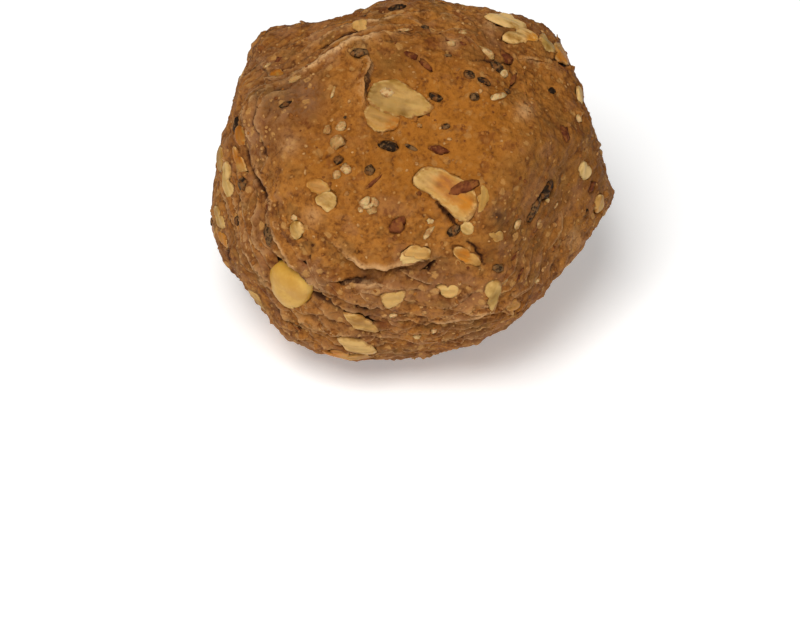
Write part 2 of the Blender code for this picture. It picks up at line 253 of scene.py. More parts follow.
def faded(run, ends=0.02, power=0.5):
    """1 in the middle of a line, and less towards its ends."""
    return np.sin(math.pi * np.clip(run, ends, 1 - ends)) ** power


def fold_height(side, run, rise, edge, size):
    """How far a fold lifts a point beside it."""
    standing = np.clip(side / edge / 2 + 0.5, 0, 1)
    back = np.exp(-np.maximum(side, 0) / FOLD_BACK / size)
    foot = np.exp(-np.maximum(-side, 0) / FOLD_FOOT / size)
    return rise * faded(run) * (standing * back - 0.5 * (1 - standing) * foot)


draw = random.Random(SEED)
folds = []
for table, size in ((SEEN_FOLDS, 1.0), (SMALL_FOLDS, SMALLER)):
    for line, rise, lip in table:
        folds.append(([front_point(*point) for point in line], rise, SEEN_EDGE, size, lip))
folds += hidden_folds(draw)
print(len(folds), "folds")

# %% [markdown]
# The dough starts as a cube, because a subdivided cube has square faces of nearly one size all over a ball,
# where a UV sphere crowds them at its poles. Edit mode cuts it finely enough for torn edges a fifth of a
# millimetre wide. Each point is then moved out along its own direction to the lump's reach plus the folds.

# %% The dough's body
CUTS = (7, 15)  # gives 128 faces along each edge of the cube
bpy.ops.object.select_all(action="DESELECT")
bpy.ops.mesh.primitive_cube_add(size=2)
dough = bpy.context.object
dough.name = dough.data.name = "dough"
bpy.ops.object.mode_set(mode="EDIT")
bpy.ops.mesh.select_all(action="SELECT")
for cuts in CUTS:
    bpy.ops.mesh.subdivide(number_cuts=cuts)
bpy.ops.object.mode_set(mode="OBJECT")


def read_points(mesh):
    points = np.zeros(len(mesh.vertices) * 3)
    mesh.vertices.foreach_get("co", points)
    return points.reshape(-1, 3)


def write_points(mesh, points):
    mesh.vertices.foreach_set("co", np.asarray(points, np.float32).ravel())
    mesh.update()


FINER_FRONT = 0.33  # how far the points are drawn to the viewer's side
cube_points = np.tan(read_points(dough.data) * math.pi / 4)  # even angles between the cuts
directions = cube_points / np.linalg.norm(cube_points, axis=1)[:, None] + np.array((0, 0, FINER_FRONT))
directions /= np.linalg.norm(directions, axis=1)[:, None]
lump_reach = pressed_reach(directions)
lump = directions * lump_reach[:, None]
RAGGED = 0.3  # how far a torn edge wanders from its line


def edge_wander(points):
    return RAGGED * noise_at(points, 0.9) + 0.5 * RAGGED * noise_at(points, 2.2)


ragged = edge_wander(lump)
body_reach = lump_reach.copy()
# painted highlight: the pale rim along the top of each torn edge
torn_rim_highlight = np.zeros(len(lump))  # 1 on the pale rim of a torn edge
torn_foot = np.zeros(len(lump))  # 1 in the shade at its foot
for line, rise, edge, size, lip in folds:
    side, run = beside_line(lump, line)
    side = side + ragged * size
    body_reach += fold_height(side, run, rise, edge, size)
    ends = faded(run) * min(rise, 1.0)
    torn_rim_highlight = np.maximum(torn_rim_highlight, ends * (side > -0.15) * np.exp(-np.abs(side) / 0.4))
    torn_foot = np.maximum(torn_foot, ends * (side <= 0.1) * np.exp(-np.abs(side) / (0.3 + 0.5 * rise)))
body = directions * body_reach[:, None]
faces = [tuple(face.vertices) for face in dough.data.polygons]
body_tree = BVHTree.FromPolygons(body.tolist(), faces)
print("the dough has", len(body), "points")

# %% [markdown]
# Oats, seeds and nut bits are pressed into the dough, so each one needs a seat: its place on the surface,
# the way out of the dough there, and its long way. A seat on the best side is found as a camera does it, by
# a ray from the viewer's eye through a point beside the ball's middle. A seat elsewhere comes from a ray
# out of the middle, along a spiral that spreads its turns evenly over the ball.

# %% Seats for the pieces
FOCAL_LENGTH = 300  # a long lens, as for a small thing on a table
SENSOR = 36
PHOTO_SIZE = (800, 638)
PIXELS_PER_MM = 9.1
BALL_PIXEL = (412, 180)  # the ball's middle in the photo
VIEW_DISTANCE = PHOTO_SIZE[0] * FOCAL_LENGTH / SENSOR / PIXELS_PER_MM
RIM_ANGLES = np.linspace(0, math.tau, 72, endpoint=False)
Seat = namedtuple("Seat", "place normal along across length width rim")


def oval_rim(length, width):
    """An oval's radius at each of the rim's angles."""
    return length * width / 2 / np.hypot(width * np.cos(RIM_ANGLES), length * np.sin(RIM_ANGLES))


def seat_at(place, normal, heading, length, width, rim=None):
    across = np.cross(normal, heading)
    across /= np.linalg.norm(across)
    rim = oval_rim(length, width) if rim is None else rim
    return Seat(place, normal, np.cross(across, normal), across, length, width, rim)


def rim_at(rim, angle):
    """The rim's radius at any angle."""
    return np.interp(np.mod(angle, math.tau), np.append(RIM_ANGLES, math.tau), np.append(rim, rim[0]))


def rim_through(u, v):
    """The radius, at each of the rim's angles, of a rim that runs through these points."""
    angle = np.mod(np.arctan2(v, u), math.tau)
    order = np.argsort(angle)
    return np.interp(RIM_ANGLES, angle[order], np.hypot(u, v)[order], period=math.tau)


def smooth_normal(place):
    """The way out of the dough, over a patch as wide as a small piece."""
    patch_radius, corners = 1.1, 6
    towards = place / np.linalg.norm(place)
    side = np.cross(towards, (0.3, 1.0, 0.2))
    side /= np.linalg.norm(side)
    ring = []
    for step in range(corners):
        angle = math.tau * step / corners
        aim = place + patch_radius * (math.cos(angle) * side + math.sin(angle) * np.cross(towards, side))
        ring.append(reached(aim / np.linalg.norm(aim)))
    normal = sum(np.cross(start - place, end - place) for start, end in zip(ring, ring[1:] + ring[:1]))
    normal = normal if normal @ towards > 0 else -normal
    return normal / np.linalg.norm(normal)


def seen_seat(right, up, length, width, turn):
    """A seat where the viewer sees it, its long way turned as it is seen."""
    eye = Vector((0, 0, VIEW_DISTANCE))
    place, *_ = body_tree.ray_cast(eye, (Vector((right, up, 0)) - eye).normalized())
    if place is None:
        near, *_ = body_tree.find_nearest(Vector((right, up, 2)))
        place = near
    place = np.array(place)
    return seat_at(place, smooth_normal(place), direction_of(turn, 0), length, width)


def spiral_directions(count, draw, wobble):
    """Evenly spread directions, from the viewer's side to the far side."""
    for number in range(count):
        towards = 1 - 2 * (number + 0.5) / count
        angle = number * math.pi * (3 - math.sqrt(5)) + draw.uniform(-wobble, wobble)
        around = math.sqrt(1 - towards * towards)
        yield number, np.array((around * math.cos(angle), around * math.sin(angle), towards))


def scattered_seat(direction, length, width, heading):
    place, *_ = body_tree.ray_cast(Vector((0, 0, 0)), Vector(direction))
    place = np.array(place)
    return seat_at(place, smooth_normal(place), heading, length, width)


print("the viewer stands", round(VIEW_DISTANCE), "mm away")

# %% [markdown]
# On the best side every flake, kernel and seed has its own place and shape. An oat is torn by the rollers
# and half covered by dough, so an oval would look cut out with scissors. Each flake therefore has an
# outline of its own, as the viewer sees it. Its seat is the outline's middle, and its long way is where the
# outline is longest.

# %% Flakes of the best side
Outline = namedtuple("Outline", "points orange pale tip lift", defaults=(0.0, 0.0, 0.0, 0.0))
SEEN_FLAKES = (
    Outline(((-4.95, 9.1), (-4.6, 10.4), (-3.3, 10.9), (-1.9, 11.0), (-0.4, 10.2), (0.7, 9.5), (1.6, 8.8),
             (2.5, 8.0), (2.0, 7.4), (0.8, 6.95), (-1.2, 6.9), (-2.6, 7.25), (-3.9, 7.7), (-4.8, 8.35)),
             0.1, 0.12, 0, 0.1),
    Outline(((-5.3, 7.6), (-4.9, 8.4), (-3.9, 7.9), (-2.6, 7.4), (-1.2, 6.9), (-1.3, 6.3), (-1.7, 5.7),
             (-2.7, 5.4), (-3.8, 5.3), (-4.6, 5.75), (-5.1, 6.5)), 0.3, 0.1, 0, -0.06),
    Outline(((-0.2, 0.0), (0.0, 0.45), (1.0, 1.3), (1.85, 1.6), (2.85, 1.4), (3.9, 0.9), (4.9, 0.3),
             (6.1, -0.3), (7.0, -1.2), (7.2, -2.3), (6.9, -3.5), (6.5, -4.4), (5.5, -4.6), (4.5, -3.8),
             (3.6, -2.9), (2.8, -2.2), (1.75, -1.45), (0.45, -0.8)), 0.1, 0.3, 0.15, 0.0),
    Outline(((7.6, -0.5), (8.0, -0.4), (8.4, -1.4), (8.2, -2.6), (7.8, -3.5), (7.2, -3.7), (7.4, -2.5),
             (7.5, -1.4)), 0.1),
    Outline(((5.5, -4.7), (6.4, -4.6), (6.8, -5.4), (6.6, -5.9), (5.8, -6.0), (5.4, -5.5)), 0.0, 0.6, 0.2),
    Outline(((-1.0, -7.8), (-0.4, -7.3), (1.0, -7.4), (2.0, -7.75), (2.1, -8.15), (1.85, -8.7),
             (1.0, -8.45), (0.1, -8.15), (-1.0, -8.1)), 0.35, 0.4, 0.2, 0.15),
    Outline(((-2.1, -9.3), (-1.3, -8.2), (-0.6, -7.9), (0.1, -8.2), (1.0, -8.5), (1.4, -9.0),
             (0.5, -8.95), (-0.4, -9.1), (-1.3, -9.6)), 0.0, 0.6, 0.0, 0.0),
    Outline(((4.4, -7.5), (5.3, -7.3), (6.4, -8.0), (7.3, -8.55), (7.6, -9.1), (7.4, -9.6), (6.5, -9.25),
             (5.6, -8.8), (4.8, -8.3)), 0.35, 0.3, 0.25),
    Outline(((8.3, -11.7), (8.9, -11.4), (9.6, -11.5), (9.95, -12.2), (9.5, -12.8), (9.2, -13.6),
             (8.7, -14.3), (8.1, -14.9), (8.5, -13.9), (8.4, -12.9)), 0.0, 0.35),
    Outline(((2.4, -11.9), (3.1, -12.1), (3.9, -11.7), (4.9, -11.4), (5.2, -12.0), (5.0, -12.6),
             (4.2, -13.0), (3.4, -12.8), (3.1, -12.4)), 0.2, 0.5, 0.0, -0.1),
    Outline(((-3.4, -12.5), (-2.6, -12.2), (-1.7, -12.3), (-0.6, -12.3), (-0.8, -12.9), (-1.4, -13.5),
             (-2.8, -14.1), (-3.2, -13.4)), 0.15, 0.35, 0.15),
    Outline(((-7.6, -14.3), (-6.9, -14.5), (-5.9, -14.6), (-5.1, -15.2), (-4.3, -15.8), (-3.5, -16.5),
             (-3.6, -16.9), (-4.5, -16.65), (-5.7, -16.2), (-6.6, -15.5)), 0.3, 0.35, 0.5),
    Outline(((-8.4, -17.1), (-7.2, -17.1), (-5.9, -17.4), (-4.8, -18.0), (-3.9, -18.8), (-4.1, -19.4),
             (-5.6, -18.95), (-6.7, -18.65), (-7.5, -17.9)), 0.1, 0.5, 0.4, 0.1),
    Outline(((-10.0, -18.7), (-9.4, -18.3), (-8.5, -18.5), (-7.8, -19.0), (-6.9, -19.1), (-5.6, -19.0),
             (-4.2, -19.5), (-4.2, -20.0), (-5.6, -19.7), (-7.0, -19.6), (-8.5, -19.6), (-9.7, -19.3)),
             0.5, 0.3, 0.3),
    Outline(((7.8, 17.8), (8.2, 18.0), (9.3, 18.0), (10.1, 18.2), (10.9, 17.9), (11.2, 17.5),
             (12.1, 17.2), (13.0, 17.0), (12.2, 16.7), (10.7, 16.6), (9.5, 16.9), (8.5, 17.3)), 0.2, 1.0,
             0.3, 0.1),
    Outline(((9.6, 15.6), (10.1, 16.0), (11.3, 16.2), (12.9, 16.6), (13.6, 16.1), (13.9, 15.4),
             (13.6, 15.1), (12.6, 15.3), (11.9, 15.1), (10.7, 15.1)), 0.25, 1.0, 0.1, 0.05),
    Outline(((13.9, 15.8), (14.3, 16.1), (14.7, 15.3), (15.3, 14.9), (15.8, 14.5), (15.3, 14.0),
             (14.5, 14.4), (14.1, 15.0)), 0.0, 0.3, 0.2),
    Outline(((15.5, 14.5), (16.1, 15.0), (16.7, 14.5), (17.2, 13.6), (17.3, 12.7), (16.4, 12.8),
             (15.6, 13.1), (15.8, 13.9)), 0.45, 0.3, 0.3),
    Outline(((-19.7, 3.7), (-19.3, 3.5), (-19.1, 2.5), (-18.5, 1.9), (-18.2, 1.0), (-18.8, 0.8),
             (-19.4, 1.7), (-19.7, 2.8)), 0.45, 0.2, 0.2),
    Outline(((-21.3, 3.5), (-20.6, 3.6), (-20.5, 2.4), (-20.7, 1.1), (-21.5, 1.2), (-21.6, 2.4)), 0.15,
             0.0, 0.2),
    Outline(((-20.6, 2.0), (-20.3, 2.0), (-20.2, 0.0), (-20.0, -2.0), (-20.4, -2.1), (-20.7, 0.0)), 0.0,
             0.5, 0.1),
    Outline(((-21.9, -2.9), (-21.5, -2.9), (-20.9, -3.9), (-20.3, -5.2), (-20.6, -5.4), (-21.4, -4.2)),
             0.1, 0.3, 0.3),
    Outline(((-21.2, -5.6), (-20.8, -5.8), (-20.3, -6.6), (-20.2, -7.4), (-20.7, -7.2), (-21.0, -6.4)),
             0.8, 0.1, 0.2),
    Outline(((-19.3, 5.9), (-18.6, 5.7), (-18.2, 4.6), (-18.4, 3.8), (-19.2, 3.9), (-19.4, 4.9)), 0.95,
             0.0, 0.1),
    Outline(((-15.8, 11.5), (-15.3, 12.0), (-14.3, 11.9), (-14.0, 11.3), (-14.8, 10.9), (-15.4, 11.0)),
             1.0, 0.0, 0.0, -0.05),
    Outline(((-11.8, -0.3), (-11.0, 0.2), (-9.8, -0.1), (-9.0, -0.9), (-9.6, -1.5), (-10.7, -1.5),
             (-11.5, -1.0)), 0.6, 0.2, 0.0, -0.16),
    Outline(((-10.7, -2.1), (-10.0, -1.5), (-8.6, -1.5), (-8.3, -2.4), (-8.8, -3.3), (-9.3, -3.6),
             (-9.9, -2.9)), 0.15, 0.6, 0.2, 0.05),
    Outline(((-13.3, -4.9), (-12.6, -4.6), (-12.0, -5.2), (-12.2, -6.0), (-12.7, -6.5), (-13.2, -5.8)),
             0.1, 0.4, 0.1),
    Outline(((-6.1, 17.4), (-5.4, 17.5), (-5.1, 16.9), (-5.3, 16.3), (-6.0, 16.4)), 0.35, 0.6, 0.2, 0.1),
    Outline(((18.5, 1.9), (19.3, 1.6), (19.7, 0.6), (19.3, 0.1), (18.6, 0.4), (18.3, 1.2)), 0.0, 0.7, 0.0,
             -0.05),
    Outline(((17.9, 10.3), (18.4, 10.2), (18.6, 9.0), (18.5, 8.2), (18.1, 8.6), (18.0, 9.4)), 0.1, 0.6,
             0.2),
    Outline(((20.0, -2.0), (20.9, -2.2), (21.0, -2.8), (20.3, -3.6), (20.0, -3.0)), 0.3, 0.2, 0.2),
    Outline(((8.4, -5.8), (9.2, -5.9), (10.2, -6.6), (9.7, -6.7), (8.9, -6.4)), 0.3, 0.2, 0.1, -0.05),
    Outline(((-17.9, -11.7), (-17.4, -12.0), (-16.4, -13.4), (-15.9, -14.5), (-16.5, -14.2),
             (-17.3, -13.0)), 0.2, 0.3, 0.2),
    Outline(((9.9, -13.4), (10.6, -13.0), (11.6, -13.2), (11.9, -13.9), (11.1, -14.2), (10.3, -14.0)),
             0.6, 0.1, 0.3),
)
PlacedFlake = namedtuple("PlacedFlake", "seat orange pale tip lift")
STEEPEST = 0.45  # a seen flake faces the viewer at least by this share


def seen_flake(outline):
    """A flake whose rim follows its outline on the plane of its seat."""
    points = np.array(outline.points)
    middle = points.mean(axis=0)
    _, ways = np.linalg.eigh(np.cov((points - middle).T))
    seat = seen_seat(*middle, 1, 1, math.degrees(math.atan2(ways[1, 1], ways[0, 1])))
    normal = seat.normal.copy()
    normal[2] = max(normal[2], STEEPEST)
    normal /= np.linalg.norm(normal)
    seat = seat_at(seat.place, normal, seat.along, 1, 1)
    eye = np.array((0.0, 0.0, VIEW_DISTANCE))
    looks = np.column_stack((points, np.zeros(len(points)))) - eye
    hits = eye + looks * ((seat.place - eye) @ normal / (looks @ normal))[:, None]
    u, v = (hits - seat.place) @ seat.along, (hits - seat.place) @ seat.across
    seat = seat._replace(length=float(np.ptp(u)), width=float(np.ptp(v)), rim=rim_through(u, v))
    return PlacedFlake(seat, outline.orange, outline.pale, outline.tip, outline.lift)


seen_flakes = [seen_flake(outline) for outline in SEEN_FLAKES]
longest = max(flake.seat.length for flake in seen_flakes)
print(len(seen_flakes), "flakes, the longest", round(longest, 1), "mm")

# %% [markdown]
# Seeds and nut bits are small enough for plain ovals. Their tables give right, up, length, width and turn.

# %% Seeds and bits of the best side
GOLDEN_KERNEL = (
    (-15.7, -9.9), (-15.3, -9.5), (-14.1, -9.5), (-13.3, -9.6), (-12.5, -9.85), (-11.7, -10.6),
    (-11.0, -11.1), (-10.9, -11.7), (-11.1, -12.5), (-11.6, -13.5), (-12.2, -14.2), (-13.1, -14.3),
    (-14.1, -13.9), (-14.7, -13.2), (-15.3, -12.4), (-15.6, -11.2),
)
CHIA = (
    (-19.3, 6.1, 2.3, 1.5, 72), (-18.7, -0.5, 1.8, 1.5, 60), (-19.2, -4.5, 1.4, 1.2, 60),
    (-15.7, -6.3, 3.0, 1.8, 112), (-14.0, 8.3, 1.7, 0.8, 15),
    (-1.7, 19.0, 2.3, 1.1, 5), (1.3, 16.8, 1.1, 0.8, 0), (2.6, 9.1, 1.7, 1.0, -25),
    (3.9, 13.7, 0.9, 0.5, 10), (6.3, 11.6, 1.4, 1.1, -40), (7.9, 10.9, 1.7, 0.9, -27),
    (6.85, 9.2, 1.2, 1.1, 0), (10.5, 9.8, 0.9, 0.8, 70), (15.4, 9.85, 1.0, 0.9, 30),
    (9.3, 12.5, 1.8, 1.4, -40), (-2.6, 3.8, 2.4, 1.2, -15), (-0.15, 3.6, 1.7, 0.6, -28),
    (3.7, 5.9, 1.1, 0.8, 0), (-8.1, 2.2, 1.3, 1.1, 30), (-4.7, 1.1, 1.4, 1.2, 60),
    (19.2, -3.6, 1.0, 0.7, 80), (9.5, -9.7, 1.4, 1.1, -20), (4.6, -5.6, 1.8, 1.2, 40),
    (14.8, -1.1, 2.7, 1.9, 55), (13.5, -3.0, 3.7, 1.3, 64), (-20.1, -9.4, 0.6, 0.5, 60),
    (-7.4, 6.9, 0.5, 0.4, 0), (9.0, 17.2, 0.5, 0.3, 0), (-5.2, 18.0, 0.7, 0.4, 30),
)
FLAX = (
    (-0.1, 13.7, 2.1, 0.8, -38), (1.45, 12.7, 2.3, 0.7, -55), (2.9, 3.4, 2.6, 1.0, -15),
    (-1.6, -5.1, 2.4, 1.5, 52), (-4.3, -0.3, 2.3, 0.5, 42), (16.9, 5.2, 1.9, 1.2, 75),
    (19.7, -0.8, 1.7, 1.3, 15), (11.9, -10.3, 1.6, 0.5, 40), (-17.7, 13.0, 2.2, 1.7, 115),
    (11.3, -8.4, 1.3, 0.7, 10), (-14.7, 13.2, 1.0, 0.8, 60), (-6.3, 18.2, 1.4, 0.6, 35),
    (16.0, 16.0, 1.4, 0.6, 65), (-12.5, -16.5, 2.0, 0.5, -50), (16.6, 12.3, 1.6, 0.5, -15),
    (10.4, 13.6, 2.0, 1.3, -50), (11.1, 11.1, 2.1, 0.5, 55), (5.6, 15.0, 1.0, 0.6, -35),
    (-15.9, -3.1, 1.0, 0.8, 60), (3.9, 15.3, 0.9, 0.4, -40), (-17.9, 10.4, 1.1, 0.6, 80),
)
PALE_BITS = (
    (-8.1, 4.2, 1.8, 1.5, 30), (-7.3, 1.2, 1.4, 1.1, -40), (-8.3, 0.6, 1.2, 1.0, 70),
    (-5.2, -2.5, 1.6, 1.0, 40), (-4.1, -2.5, 1.3, 0.9, 110), (-4.4, -3.4, 1.3, 0.8, 10),
    (-5.7, -3.3, 0.8, 0.6, 120), (-4.8, -2.9, 1.1, 0.9, 0), (2.0, -4.5, 0.8, 0.7, 0),
    (1.8, -5.8, 1.7, 0.6, 60), (11.6, -4.8, 1.2, 0.9, 60), (2.4, -16.5, 0.9, 0.8, 0),
    (0.6, -17.2, 1.1, 0.8, 0), (-19.5, -10.1, 0.9, 0.85, 0), (13.75, -11.1, 0.7, 0.6, 40),
    (8.3, 14.0, 2.0, 1.0, -60), (9.4, 9.2, 2.1, 0.9, 32), (-7.8, 5.9, 1.3, 1.0, 10),
    (-9.3, 5.5, 1.3, 0.9, 80), (18.3, 6.8, 1.0, 0.8, 80), (4.2, 15.0, 1.1, 0.8, 0),
    (10.1, 11.7, 1.1, 0.9, 60), (-18.0, -13.1, 0.7, 0.6, 0), (-13.0, -4.2, 0.9, 0.8, 30),
    (10.1, -11.1, 1.2, 0.5, 15), (1.4, -14.6, 0.7, 0.5, 0), (14.9, -2.2, 0.7, 0.5, 0),
    (-15.9, 12.5, 1.0, 0.7, 70), (5.5, 16.2, 1.0, 0.7, 0), (-18.9, -11.9, 0.6, 0.5, 0),
    (-8.7, 9.7, 1.5, 0.35, 75), (-12.9, 11.1, 1.8, 0.8, 18), (-2.1, -14.9, 1.0, 0.6, 20),
    (0.8, 6.0, 0.6, 0.5, 0), (13.9, -4.6, 0.9, 0.5, 60), (15.8, -2.7, 0.9, 0.4, 60),
    (-1.0, 16.5, 1.6, 0.5, 10), (17.0, -9.6, 0.9, 0.5, 40),
)
kernel_seat = seen_flake(Outline(GOLDEN_KERNEL)).seat
chia_seats, flax_seats, pale_seats = ([seen_seat(*bit) for bit in bits] for bits in (CHIA, FLAX, PALE_BITS))
ON_TOP = (  # those that lie on a flake or a torn edge
    (flax_seats, (5.7, -0.9, 3.4, 1.2, 24), 0.3), (pale_seats, (-2.8, 9.6, 1.6, 1.2, -20), 0.25),
    (chia_seats, (-5.8, 13.9, 2.0, 1.1, -5), 0.3),
)
for seats, bit, lift in ON_TOP:
    seat = seen_seat(*bit)
    seats.append(seat._replace(place=seat.place + lift * seat.normal))
print(len(chia_seats) + len(flax_seats) + len(pale_seats), "small pieces are seen")

# %% [markdown]
# The other sides are dressed by a rule. The first spiral repeats the places where the solid has its
# fused-on pieces. A second, closer one adds the smaller bits between them, so the back is as full as the
# front.

# %% Pieces of the other sides
SCATTERED = 92
FLAKE_EVERY = 3
FLAKE_LENGTHS = (4.6, 7.6)
SEED_LENGTHS = (1.5, 2.7)
BEST_SIDE = 0.12  # the best side begins at this share of the way towards the viewer
BETWEEN = 330


def torn_flake(seat, narrow, tip, orange):
    """A flake with a tapered oval rim, torn in its own way."""
    phase = 9.7 * seat.place[0]
    x, y = np.cos(RIM_ANGLES), np.sin(RIM_ANGLES)
    torn = 1 + 0.06 * np.sin(3 * RIM_ANGLES + phase) + 0.05 * np.sin(5 * RIM_ANGLES + 2.3 * phase)
    torn += 0.03 * np.sin(11 * RIM_ANGLES + 4.1 * phase)
    u, v = x * torn * seat.length / 2, y * torn * seat.width / 2 * (1 - narrow * np.clip(x, -0.3, 1))
    return PlacedFlake(seat._replace(rim=rim_through(u, v)), orange, 0.5 * (phase % 1), tip, 0.0)


scattered_flakes = []
draw = random.Random(SEED)
for number, direction in spiral_directions(SCATTERED, draw, 0.15):
    is_flake = number % FLAKE_EVERY == 0
    length = draw.uniform(*(FLAKE_LENGTHS if is_flake else SEED_LENGTHS))
    width = length * draw.uniform(0.6, 0.78)
    heading = direction_of(draw.uniform(0, 360), draw.uniform(-60, 60))
    tip = draw.uniform(1, 6)
    if direction[2] > (BEST_SIDE if is_flake else 0) or angle_between(direction, FOOT) < FOOT_CLEARANCE:
        continue
    seat = scattered_seat(direction, length, width, heading)
    if is_flake:
        scattered_flakes.append(torn_flake(seat, 0.3, tip / 15, (number % 5) / 5))
    else:
        (chia_seats, flax_seats, pale_seats)[number % 3].append(seat)
draw = random.Random(SEED + 1)
for number, direction in spiral_directions(BETWEEN, draw, 0.2):
    heading = direction_of(draw.uniform(0, 360), draw.uniform(-60, 60))
    kind = draw.choices(("flake", "chia", "flax", "pale", "none"), (22, 25, 14, 25, 14))[0]
    length, slim, orange = draw.uniform(0.9, 2.0), draw.uniform(0.55, 0.85), draw.random()
    if direction[2] > 0.02 or angle_between(direction, FOOT) < FOOT_CLEARANCE or kind == "none":
        continue
    if kind == "flake":
        seat = scattered_seat(direction, 1.9 * length, 1.9 * length * slim * slim, heading)
        scattered_flakes.append(torn_flake(seat, 0.4, 0.2 * slim, orange))
    else:
        seats = {"chia": chia_seats, "flax": flax_seats, "pale": pale_seats}[kind]
        seats.append(scattered_seat(direction, length, length * slim, heading))
flakes = seen_flakes + scattered_flakes
print(len(flakes), "flakes", len(chia_seats), "chia", len(flax_seats), "flax", len(pale_seats), "pale bits")

# %% [markdown]
# Now the dough gets its skin. The body has its shape, and the seats say where dough is pushed aside: it
# sinks under a piece and rises in a low lip round it. Cracks are narrow grooves along lines. Fine noise
# gives the crumbly grain. How deep each groove goes is also kept on the points, for the painted shade in it.

# %% The dough's skin
CRACKS = (  # the (right, up) points, depth, width
    (((-12.5, -9.9), (-10.8, -11.7), (-8.9, -12.9)), 1.0, 0.5),
    (((5.9, -6.6), (6.7, -7.2), (7.4, -8.2), (7.8, -9.1)), 0.6, 0.15),
    (((-3.9, 16.9), (-6.6, 15.6), (-9.4, 14.2), (-11.9, 12.9)), 0.8, 0.2),
    (((-17.9, 3.0), (-17.2, 1.2), (-16.3, -0.6), (-15.4, -2.2)), 1.0, 0.3),
    (((-14.6, 11.9), (-16.1, 10.7), (-17.2, 9.0)), 0.6, 0.2),
    (((-6.0, -14.7), (-4.4, -15.4), (-2.9, -15.8)), 1.0, 0.4),
    (((-6.1, -13.7), (-4.5, -13.8)), 0.7, 0.22),
    (((0.9, -10.2), (1.7, -9.5), (2.4, -8.8)), 0.8, 0.2),
    (((-15.6, -8.7), (-14.3, -8.9), (-13.0, -9.1)), 1.3, 0.42),
    (((-14.6, 14.2), (-13.6, 14.7), (-13.2, 15.7)), 0.6, 0.18),
    (((15.2, 13.2), (16.3, 12.6), (17.6, 12.5)), 0.9, 0.28),
    (((-15.8, 0.0), (-15.2, -0.9), (-14.6, -1.7)), 1.1, 0.28),
    (((-10.0, -16.4), (-8.2, -16.9)), 0.9, 0.28),
    (((-10.0, -17.0), (-10.5, -18.1)), 0.9, 0.25),
    (((-13.3, -15.5), (-12.5, -16.3), (-11.9, -17.2)), 0.6, 0.2),
    (((5.4, -7.4), (5.9, -8.6), (7.3, -9.4)), 0.5, 0.2),
    (((-17.9, 9.0), (-17.3, 7.4), (-17.8, 5.8)), 0.6, 0.2),
    (((-15.9, 4.2), (-15.6, 2.8), (-14.9, 1.6)), 0.5, 0.16),
    (((2.6, -2.5), (3.8, -3.6), (5.0, -5.0)), 0.9, 0.22),
    (((-8.4, -11.2), (-6.9, -10.9), (-5.2, -10.7)), 0.45, 0.18),
    (((-20.6, -7.6), (-19.9, -9.4)), 0.7, 0.3),
    (((10.6, 12.3), (11.0, 10.7), (10.4, 9.8)), 0.5, 0.2),
    (((6.6, 13.0), (8.6, 12.9), (10.6, 12.5)), 0.5, 0.18),
    (((-4.9, 9.2), (-4.7, 11.2)), 0.4, 0.18),
    (((-10.6, -7.0), (-10.9, -8.6), (-12.2, -9.4)), 0.4, 0.2),
)
HIDDEN_CRACKS = 16
GRAIN = ((0.22, 0.55), (0.20, 1.15), (0.16, 2.1))  # height, and waves in a millimetre

cracks = [([front_point(*point) for point in line], depth, width) for line, depth, width in CRACKS]
for number, direction in spiral_directions(2 * HIDDEN_CRACKS, draw, 0.3):
    if direction[2] < 0 and angle_between(direction, FOOT) > FOOT_CLEARANCE:
        line = [reached(direction)]
        step = np.cross(direction, direction_of(draw.uniform(0, 360), draw.uniform(-40, 40)))
        for _ in range(3):
            aim = line[-1] + draw.uniform(0.8, 1.6) * step + 0.6 * direction_of(draw.uniform(0, 360), 0)
            line.append(reached(aim / np.linalg.norm(aim)))
        cracks.append((line, draw.uniform(0.4, 0.9), draw.uniform(0.15, 0.3)))

skin = sum(height * noise_at(body, in_a_mm, 7.0) for height, in_a_mm in GRAIN)
crack_depth = np.zeros(len(body))
wander = 0.25 * noise_at(body, 1.3, 3.0) + 0.12 * noise_at(body, 3.1, 5.0)
for line, depth, width in cracks:
    side, run = beside_line(body, line)
    groove = np.exp(-(((side + wander) / width) ** 2))
    crack_depth = np.maximum(crack_depth, depth * faded(run, 0.06, 0.4) * groove)
skin -= crack_depth
print("the deepest crack is", round(float(crack_depth.max()), 2), "mm deep")

# %% [markdown]
# Round the smooth front the dough is in layers, like shingles: each one rises slowly outwards and ends in a
# torn edge over the next. A saw-tooth wave along the distance from the front's middle makes them, and noise
# bends them and leaves gaps, so no layer goes all the way round.

# %% Layers at the sides
LAYER_STEP = 1.7  # from one layer's edge to the next, in millimetres
LAYER_RISE = 0.6
LAYER_DROP = 0.16  # the edge falls over this
FRONT_MIDDLE = direction_of(0, 90)
from_front = 20 * np.arccos(np.clip(directions @ FRONT_MIDDLE, -1, 1))
turn_about = np.degrees(np.arctan2(body[:, 1], body[:, 0]))
flaky_side = 0.5 - 0.5 * np.cos(np.radians(turn_about - 20))  # most at the lower left
low_side = np.exp(-(((turn_about + 96) / 40) ** 2))
seen_zone = np.clip((from_front - 15 + 4.5 * low_side) / 4, 0, 1)
seen_zone = seen_zone * np.clip(1.5 * flaky_side + low_side, 0, 1)
hidden_zone = np.clip((from_front - 31) / 4, 0, 1) * 0.8
bent = from_front + 2.4 * noise_at(body, 0.11, 21.0) + 0.7 * noise_at(body, 0.4, 23.0)
bent += 0.16 * noise_at(body, 1.7, 25.0)
gaps = np.clip(1.1 + 1.9 * noise_at(body, 0.19, 27.0), 0, 1)
gaps *= np.clip(0.9 + 1.5 * noise_at(body, 0.55, 29.0), 0.15, 1)
layered = np.maximum(seen_zone, hidden_zone) * gaps
layer_share = np.mod(bent / LAYER_STEP, 1)
to_edge = (1 - layer_share) * LAYER_STEP
skin += LAYER_RISE * layered * (layer_share * np.clip(to_edge / LAYER_DROP, 0, 1) - 0.4)
# painted light on the layers: a highlight along each torn edge, and painted shade at the foot under it
layer_rim_highlight = layered * np.exp(-np.maximum(to_edge - 0.1, 0) / 0.22)
